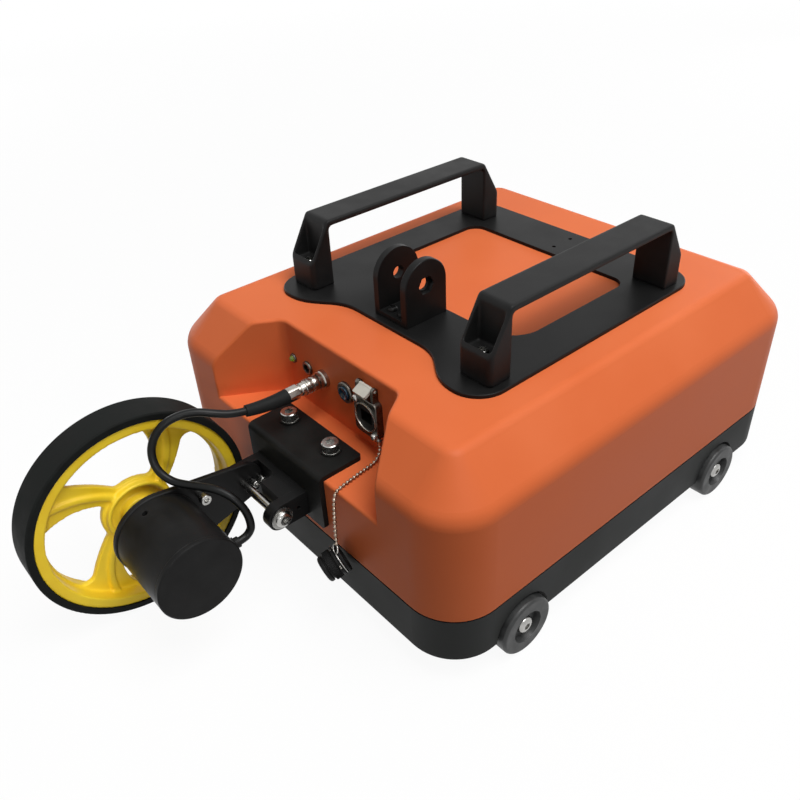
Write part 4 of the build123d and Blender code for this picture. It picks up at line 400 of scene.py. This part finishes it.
# Floor and light: pale studio floor under a large soft lamp above the machine's right side, with weak
# lamps behind, left and in front, and a soft beam on the survey wheel.
# The floor and the sky show white to the camera and stay dim to the light that they throw back.
def seen_directly(tree):
    """1 for rays that the camera, a mirror or a lens looks along, 0 for the rest."""
    ray = add(tree, "LightPath")
    seen = add(tree, "Math", {}, {0: ray.outputs["Is Camera Ray"], 1: ray.outputs["Is Glossy Ray"]},
               operation="MAXIMUM")
    seen = add(tree, "Math", {}, {0: seen.outputs[0], 1: ray.outputs["Is Transmission Ray"]},
               operation="MAXIMUM")
    return seen.outputs[0]


def aimed(spot, aim):
    """Place of a lamp at a spot that shines toward an aim."""
    back = Vector(spot) - Vector(aim)
    return Matrix.Translation(spot) @ back.to_track_quat("Z", "Y").to_matrix().to_4x4()


bpy.ops.object.select_all(action="DESELECT")
bpy.ops.mesh.primitive_plane_add(size=40.0)
floor = bpy.context.object
floor.name = "floor"
pale, tree, shader, place = new_material("pale_floor", Roughness=0.9)
seen = seen_directly(tree)
shade = add(tree, "Mix", {mix_first: srgb("585858"), mix_second: srgb("FFFFFF")}, {mix_share: seen},
            data_type="RGBA")
tree.links.new(shade.outputs[mix_result], shader.inputs["Base Color"])
glow = add(tree, "Emission", {"Color": srgb("FFFFFF"), "Strength": 1.0})
# Near the machine the glow leaves a trace of the shadow, which is gone farther out.
shadow_near, shadow_far, near_glow = 0.5, 2.5, 0.94
reach = add(tree, "VectorMath", {}, {0: place}, operation="LENGTH")
fade = add(tree, "MapRange", {"From Min": shadow_near, "From Max": shadow_far, "To Min": near_glow},
           {"Value": reach.outputs["Value"]})
veil = add(tree, "Math", {}, {0: seen, 1: fade.outputs["Result"]}, operation="MULTIPLY")
both = add(tree, "MixShader", {}, {0: veil.outputs[0], 1: shader.outputs[0], 2: glow.outputs[0]})
tree.links.new(both.outputs[0], tree.nodes["Material Output"].inputs["Surface"])
floor.data.materials.append(pale)

world = bpy.data.worlds.new("studio")
bpy.context.scene.world = world
world.use_nodes = True
tree = world.node_tree
sky = tree.nodes["Background"]
sky.inputs["Color"].default_value = srgb("FFFFFF")
sky.inputs["Strength"].default_value = 0.09
white = add(tree, "Background", {"Color": srgb("FFFFFF"), "Strength": 1.0})
both = add(tree, "MixShader", {}, {0: seen_directly(tree), 1: sky.outputs[0], 2: white.outputs[0]})
tree.links.new(both.outputs[0], tree.nodes["World Output"].inputs["Surface"])

lamp_aim = (0.0, 0.0, 0.1)
for name, spot, size, power in (
        ("key_lamp", (0.7, 0.1, 1.82), 1.2, 33.5),
        ("back_lamp", (-0.2, 1.9, 0.45), 0.8, 7.0),
        ("left_lamp", (-1.9, -0.1, 0.4), 0.8, 3.5),
        ("front_lamp", (0.3, -1.5, 1.2), 0.9, 0.6)):
    lamp = bpy.data.lights.new(name, "AREA")
    lamp.size = size
    lamp.energy = power
    put(name, lamp).matrix_world = aimed(spot, lamp_aim)
beam = bpy.data.lights.new("wheel_lamp", "SPOT")
beam.energy = 37.0
beam.spot_size = radians(10)
beam.spot_blend = 0.4
beam.shadow_soft_size = 0.15
beam_spot, beam_aim = (1.1, -0.75, 0.6), (-0.07, -0.265, 0.075)
put("wheel_lamp", beam).matrix_world = aimed(beam_spot, beam_aim)


# Base tray: shallow tray of moulded dark grey ABS under the box, with wells for the side wheels.
# It is screwed to the housing from below. Its eroded mould leaves a dull, even skin.
def dress(material, *names):
    """Gives CAD nodes their material."""
    for name in names:
        nodes[name].data.materials.clear()
        nodes[name].data.materials.append(material)


grey_abs = patchy_material("moulded_grey_ABS", ("292A2A", "303130"), patch_size=70, roughness=(0.5, 0.62),
                           grain_size=1.4, grain_strength=0.12, IOR=1.53, Specular_IOR_Level=0.1)
dress(grey_abs, "base_tray")

# Screws of plain stainless steel: turned shanks and heads, bright with a slight satin drift.
# The same steel makes the pivot rod and its washer, the wheel shaft, the encoder's bearings, and the
# chain's tab and wire ring.
steel = patchy_material("stainless_steel", ("A3A29F", "B5B4B1"), patch_size=5, roughness=(0.2, 0.28),
                        grain_size=0.7, grain_strength=0.02, grain_depth=0.1, Metallic=1.0)
dress(steel, "tray_screws", "axle_screws", "pivot_shaft", "pivot_washer", "pivot_screw", "wheel_shaft",
      "hub_screws", "encoder_bearings", "network_screws", "chain_fittings", "clevis_screws")

# Seam gasket and plug boot: black rubber, the gasket a flat ring pressed between tray and housing.
# Only the gasket's edge shows, as a dark line; the rubber is dull and takes up dust in patches.
rubber = patchy_material("black_rubber", ("131414", "1B1C1C"), patch_size=9, patch_detail=5.0,
                         roughness=(0.55, 0.72), grain_size=1.2, grain_detail=3.0, grain_strength=0.15,
                         IOR=1.52, Specular_IOR_Level=0.13)
dress(rubber, "seam_gasket", "plug_boot")

# Side wheels: turned black acetal discs with a dished face, running on steel shoulder screws.
# Acetal has a waxy dark grey sheen, rubbed duller in patches. The encoder's code disc is acetal too.
acetal = patchy_material("black_acetal", ("272828", "343535"), patch_size=8, patch_detail=5.0,
                         roughness=(0.4, 0.58), grain_size=1.0, grain_detail=3.0, IOR=1.48)
dress(acetal, "side_wheel_front_left", "side_wheel_front_right", "side_wheel_rear_left",
      "side_wheel_rear_right", "code_disc")

# Electronics inside the box: antenna and radar boards of green FR4, a tinned steel shield can
# and a battery pack in blue shrink film. The encoder's board is FR4 too.
# Solder mask shows its copper as paler lines, tin its crystals, and the film its soft creases.
board, tree, shader, place = new_material("green_solder_mask", IOR=1.5)
trace_pitch = 24
trace = add(tree, "TexBrick", {"Color1": srgb("1B5B34"), "Color2": srgb("23683D"), "Mortar": srgb("2F7A4A"),
                               "Scale": 1000 / trace_pitch, "Mortar Size": 0.03}, {"Vector": place})
tree.links.new(trace.outputs["Color"], shader.inputs["Base Color"])
rough = add(tree, "MapRange", {"To Min": 0.3, "To Max": 0.45}, {"Value": trace.outputs["Fac"]})
tree.links.new(rough.outputs["Result"], shader.inputs["Roughness"])
dress(board, "antenna_board", "radar_board", "encoder_board")
tinned, tree, shader, place = new_material("tinned_steel", Metallic=1.0)
crystal_size = 14
crystal = add(tree, "TexVoronoi", {"Scale": 1000 / crystal_size}, {"Vector": place})
shade = add(tree, "Mix", {mix_first: srgb("9FA1A2"), mix_second: srgb("B9BBBB")},
            {mix_share: crystal.outputs["Distance"]}, data_type="RGBA")
tree.links.new(shade.outputs[mix_result], shader.inputs["Base Color"])
rough = add(tree, "MapRange", {"To Min": 0.3, "To Max": 0.5}, {"Value": crystal.outputs["Distance"]})
tree.links.new(rough.outputs["Result"], shader.inputs["Roughness"])
dress(tinned, "shield_can")
film, tree, shader, place = new_material("blue_shrink_film", IOR=1.54, Roughness=0.3)
crease_size = 20
crease = add(tree, "TexNoise", {"Scale": 1000 / crease_size, "Detail": 5.0}, {"Vector": place})
shade = add(tree, "Mix", {mix_first: srgb("1D3163"), mix_second: srgb("27427F")},
            {mix_share: crease.outputs["Fac"]}, data_type="RGBA")
tree.links.new(shade.outputs[mix_result], shader.inputs["Base Color"])
bump = add(tree, "Bump", {"Strength": 0.3, "Distance": 0.0006}, {"Height": crease.outputs["Fac"]})
tree.links.new(bump.outputs["Normal"], shader.inputs["Normal"])
dress(film, "battery_pack")

# Top housing: thick moulded shell of orange ABS with sloping shoulders and the connector pocket.
# Satin skin from a finely eroded mould, slightly uneven in tone.
orange_abs = patchy_material("moulded_orange_ABS", ("E2703F", "E87848"), patch_size=130, patch_detail=3.0,
                             roughness=(0.44, 0.54), grain_size=1.6, IOR=1.53, Specular_IOR_Level=0.12)
dress(orange_abs, "top_housing")

# Top plate: black anodised aluminium sheet with a large window, screwed down under the handles and the
# tow clevis. The clevis and its screws, the arm, the hinge clevis, the stop block and the encoder's mounting
# screws have the same finish.
dress(anodised, "top_plate", "tow_clevis", "tow_screws", "wheel_arm", "hinge_clevis", "stop_block",
      "mount_screws")


# Handles: bridge handles of glass-filled black nylon, moulded with soft edges.
# Each is held by two steel cap screws sunk in its feet.
def moulded_copy(name, node, passes):
    """Copy of a CAD node's mesh with edges as soft as a mould leaves them, by passes of smoothing."""
    piece = put(name, nodes[node].data.copy())
    bpy.ops.object.select_all(action="DESELECT")
    piece.select_set(True)
    bpy.context.view_layer.objects.active = piece
    edit_all()
    bpy.ops.mesh.remove_doubles(threshold=merge_distance)
    bpy.ops.object.mode_set(mode="OBJECT")
    skin = piece.modifiers.new("skin", "REMESH")
    skin.mode = "VOXEL"
    skin.voxel_size = 0.0009
    bpy.ops.object.modifier_apply(modifier="skin")
    soften = piece.modifiers.new("soften", "SMOOTH")
    soften.factor = 0.5
    soften.iterations = passes
    bpy.ops.object.modifier_apply(modifier="soften")
    bpy.ops.object.shade_smooth()
    piece.data.materials.clear()
    return piece


# Glass-filled nylon: black with a soft sheen, slightly cloudy where the fibres come near the skin.
nylon = patchy_material("glass_filled_black_nylon", ("161616", "1E1E1E"), patch_size=25,
                        roughness=(0.42, 0.54), grain_size=1.1, grain_detail=3.0, grain_strength=0.12,
                        IOR=1.53, Specular_IOR_Level=0.13)
for side in ("left", "right"):
    handle = moulded_copy("moulded_handle_" + side, "handle_" + side, passes=6)
    handle.data.materials.append(nylon)
    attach(handle, "chassis")
    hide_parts("handle_" + side)


# Handle screws: socket cap screws of stainless steel, through the handles' feet and the plate into the
# housing. Each has a head with a rolled knurl and a hexagon socket, and a plain shank.
def cap_screw(head, height, flats, shank, length, ridges):
    """Cap screw standing on z = 0, sizes in millimetres: knurled head, hexagon socket, plain shank."""
    crown_edge, crown_height = 0.0006, 0.0005
    groove_edge, groove_depth = 0.00006, 0.00022
    bpy.ops.object.select_all(action="DESELECT")
    bpy.ops.mesh.primitive_cylinder_add(
        vertices=2 * ridges, radius=head / 1000, depth=height / 1000, location=(0, 0, height / 2000))
    bpy.ops.object.transform_apply(location=True)
    screw = bpy.context.object
    edit_faces(screw, lambda face: face.normal.z > 0.9)
    bpy.ops.mesh.inset(thickness=crown_edge)
    bpy.ops.transform.translate(value=(0, 0, crown_height))
    edit_faces(screw, lambda face: face.normal.z < -0.9)
    bpy.ops.mesh.inset(thickness=(head - shank) / 1000)
    bpy.ops.mesh.extrude_region_move(TRANSFORM_OT_translate={"value": (0, 0, -length / 1000)})
    bpy.ops.object.mode_set(mode="OBJECT")
    sides = [f.index for f in screw.data.polygons if abs(f.normal.z) < 0.1 and f.center.z > 0]
    grooves = set(sides[::2])
    edit_faces(screw, lambda face: face.index in grooves)
    bpy.ops.mesh.inset(thickness=groove_edge, use_individual=True)
    bpy.ops.transform.shrink_fatten(value=-groove_depth)
    bpy.ops.object.mode_set(mode="OBJECT")
    bpy.ops.mesh.primitive_cylinder_add(
        vertices=6, radius=flats / 2000 / cos(pi / 6), depth=height / 1000, location=(0, 0, height / 1000))
    key = bpy.context.object
    bpy.ops.object.select_all(action="DESELECT")
    bpy.context.view_layer.objects.active = screw
    cut = screw.modifiers.new("socket", "BOOLEAN")
    cut.object = key
    cut.operation = "DIFFERENCE"
    cut.solver = "EXACT"
    bpy.ops.object.modifier_apply(modifier="socket")
    bpy.data.objects.remove(key)
    # The knurled side of the head takes the second material, which paints it dark as a painted reflection.
    for face in screw.data.polygons:
        face.material_index = int(face.center.z > 0.0001 and face.center.xy.length > 0.9 * head / 1000
                                  and abs(face.normal.z) < 0.3)
    return screw


def set_screws(name, screw, spots, node):
    """Copies a steel screw to its spots, in millimetres, and lets the copies stand for a CAD node."""
    copies = []
    for spot in spots:
        copy = put(name, screw.data.copy())
        copy.matrix_world = Matrix.Translation([c / 1000 for c in spot])
        copies.append(copy)
    bpy.data.objects.remove(screw)
    piece = join_as(name, copies)
    piece.data.materials.append(steel)
    # The second material is the knurled side's painted dark reflection.
    piece.data.materials.append(knurl_painted_dark)
    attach(piece, body_of(nodes[node])[0])
    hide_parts(node)


# Knurled steel: the same bright steel, dulled, and painted dark over the whole knurled side of the head as a
# painted reflection of the black parts round the screws.
knurl_painted_dark = patchy_material("knurled_stainless_steel", ("3C3B39", "5B5A57"), patch_size=0.9, patch_detail=2.0,
                        spread=(0.0, 1.0), roughness=(0.4, 0.55), Metallic=1.0)
box_middle = 92.5
handle_screw_x, handle_screw_y, handle_seat = 98.5, 100.5, 204.0
handle_spots = [(i * handle_screw_x, box_middle + j * handle_screw_y, handle_seat)
                for i in (-1, 1) for j in (-1, 1)]
handle_screw = cap_screw(head=4.25, height=4.5, flats=4.0, shank=2.5, length=20.0, ridges=24)
set_screws("handle_cap_screws", handle_screw, handle_spots, "handle_screws")

# Panel fittings: status light in a small bezel, charging jack, push button, panel socket with the cable's
# plug, and network connector, all held in the pocket's back wall by nuts behind it or by screws.
# The castings have a dark nickel plate, and their rounded edges catch the light.
gunmetal = patchy_material("black_nickel_zinc_casting", ("5A5752", "6C6963"), patch_size=4, patch_detail=3.0,
                           roughness=(0.26, 0.36), edge_radius=0.4, Metallic=1.0)
dress(gunmetal, "panel_bezels", "button_bezel", "panel_nuts", "network_block")
dress(nickel, "encoder_socket", "encoder_plug")
# PBT insulators are black and half dull, the lens is clear green painted pale lime to yellow in patches as a
# painted glow of the lit status light, the button a deep blue with a wet shine, and the latch tab a plain
# pale grey.
insulator = patchy_material("black_PBT", ("0B0B0B", "131313"), patch_size=6, patch_detail=3.0,
                            spread=(0.0, 1.0), roughness=(0.4, 0.55), IOR=1.55, Specular_IOR_Level=0.15)
dress(insulator, "network_core", "jack_core")
# The lens's pale lime and yellow patches are a painted glow; the lens gives no light.
lens_green_painted_glow = patchy_material("green_acrylic_lens", ("A6CC3C", "CFE470"), patch_size=3, patch_detail=2.0,
                             spread=(0.0, 1.0), Transmission_Weight=0.6, IOR=1.49, Roughness=0.12)
dress(lens_green_painted_glow, "light_lens")
button_blue = patchy_material("blue_polycarbonate", ("10283C", "1C4258"), patch_size=4, patch_detail=3.0,
                              spread=(0.0, 1.0), IOR=1.58, Roughness=0.22)
dress(button_blue, "button_cap")
tab_grey = patchy_material("light_grey_nylon", ("B7B3A8", "C9C5BA"), patch_size=5, patch_detail=3.0,
                           spread=(0.0, 1.0), IOR=1.53, Roughness=0.42)
dress(tab_grey, "network_latch")

# Front ring of the network connector: bright nickel lip round the block's bore.
# Turned from brass, plated, and pressed into the casting.
panel_y = -0.0575
ring_place = (0.0375, panel_y, 0.1485)
facing_front = Matrix.Rotation(radians(90), 4, "X")
ring = turned([(10.75, 5.2), (10.75, 6.5), (10.95, 6.7), (11.6, 6.7), (12.05, 6.4), (12.05, 5.2),
               (10.75, 5.2)], steps=64, crease=50)
ring = join_as("connector_ring", [ring])
ring.data.transform(Matrix.Translation(ring_place) @ facing_front)
ring.data.materials.append(nickel)
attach(ring, "chassis")

# Plug sleeve: turned nickel-plated sleeve, drawn back by its ribs to unlatch the plug.
# A smooth bulge next to the socket, three ribs to grip and a tapered tail.
sleeve_place = (-0.0195, panel_y, 0.1525)
sleeve = turned([
    (4.46, 7.5), (5.3, 7.5), (5.8, 8.0), (6.0, 9.2), (6.0, 11.7), (5.8, 12.6), (5.2, 12.9), (5.2, 13.7),
    (5.8, 13.8), (5.9, 14.0), (5.9, 15.0), (5.4, 15.2), (5.4, 15.8), (5.9, 16.0), (5.9, 17.1), (5.4, 17.3),
    (5.4, 17.9), (5.9, 18.1), (5.9, 19.1), (5.4, 19.5), (5.3, 22.3), (5.0, 23.0), (4.46, 23.0),
    (4.46, 7.5)], steps=48, crease=32)
sleeve = join_as("turned_plug_sleeve", [sleeve])
sleeve.data.transform(Matrix.Translation(sleeve_place) @ facing_front)
sleeve.data.materials.append(nickel)
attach(sleeve, "plug_sleeve")
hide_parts("plug_sleeve")

# Hinge bracket: bent steel plate with a black powder coat, held to the ledge by two cap screws on washers.
# The coat is dull black with a faint orange peel, drawn coarser than it is so that it shows.
coat = patchy_material("black_powder_coat", ("151514", "1C1C1B"), patch_size=18, roughness=(0.4, 0.52),
                       IOR=1.5, Specular_IOR_Level=0.08)
tree = coat.node_tree
peel_size = 1.5
peel = add(tree, "TexVoronoi", {"Scale": 1000 / peel_size},
           {"Vector": tree.nodes["Texture Coordinate"].outputs["Object"]}, feature="SMOOTH_F1")
bump = add(tree, "Bump", {"Strength": 0.12, "Distance": 0.0002}, {"Height": peel.outputs["Distance"]})
tree.links.new(bump.outputs["Normal"], tree.nodes["Principled BSDF"].inputs["Normal"])
dress(coat, "hinge_bracket", "bracket_washers")
bracket_spots = [(-30.0, -86.5, 123.7), (23.0, -86.5, 123.7)]
bracket_screw = cap_screw(head=6.5, height=6.5, flats=6.0, shank=4.0, length=14.0, ridges=32)
set_screws("bracket_cap_screws", bracket_screw, bracket_spots, "bracket_screws")

# Encoder: round housing of anodised aluminium with an end cap and a nylon cable gland; the hub flange has
# the housing's finish, dark grey with a satin sheen and bright lines on the edges.
# The steel screws that stand on the arm beside it are dressed here too.
cap_finish = patchy_material("dark_grey_anodised_aluminium", ("1A1A1A", "212121"), patch_size=20,
                             roughness=(0.3, 0.38), edge_radius=0.8, Specular_IOR_Level=0.08)
dress(cap_finish, "encoder_housing", "encoder_cap", "hub_flange")
dress(nylon, "cable_gland")
dress(steel, "arm_screws")

# Survey wheel: moulded yellow polypropylene wheel with a deep rim and curved, ribbed spokes.
# Every edge is rounded by the mould, so the rim and ribs show soft highlights.
yellow_pp = patchy_material("moulded_yellow_polypropylene", ("F8D024", "FFDC34"), patch_size=30,
                            roughness=(0.38, 0.48), grain_size=2.0, grain_strength=0.08, IOR=1.49)
wheel = moulded_copy("moulded_wheel", "survey_wheel", passes=4)
wheel.data.materials.append(yellow_pp)
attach(wheel, "survey_wheel")
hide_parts("survey_wheel")

# Tyre: band of black rubber stretched on the rim, with a flat tread.
# The rubber is duller than the gasket's and slightly dusty.
tread = patchy_material("black_tyre_rubber", ("141514", "1C1E1D"), patch_size=16, patch_detail=6.0,
                        roughness=(0.55, 0.72), grain_size=1.3, grain_detail=3.0, grain_strength=0.15,
                        IOR=1.52, Specular_IOR_Level=0.06)
dress(tread, "survey_tyre")
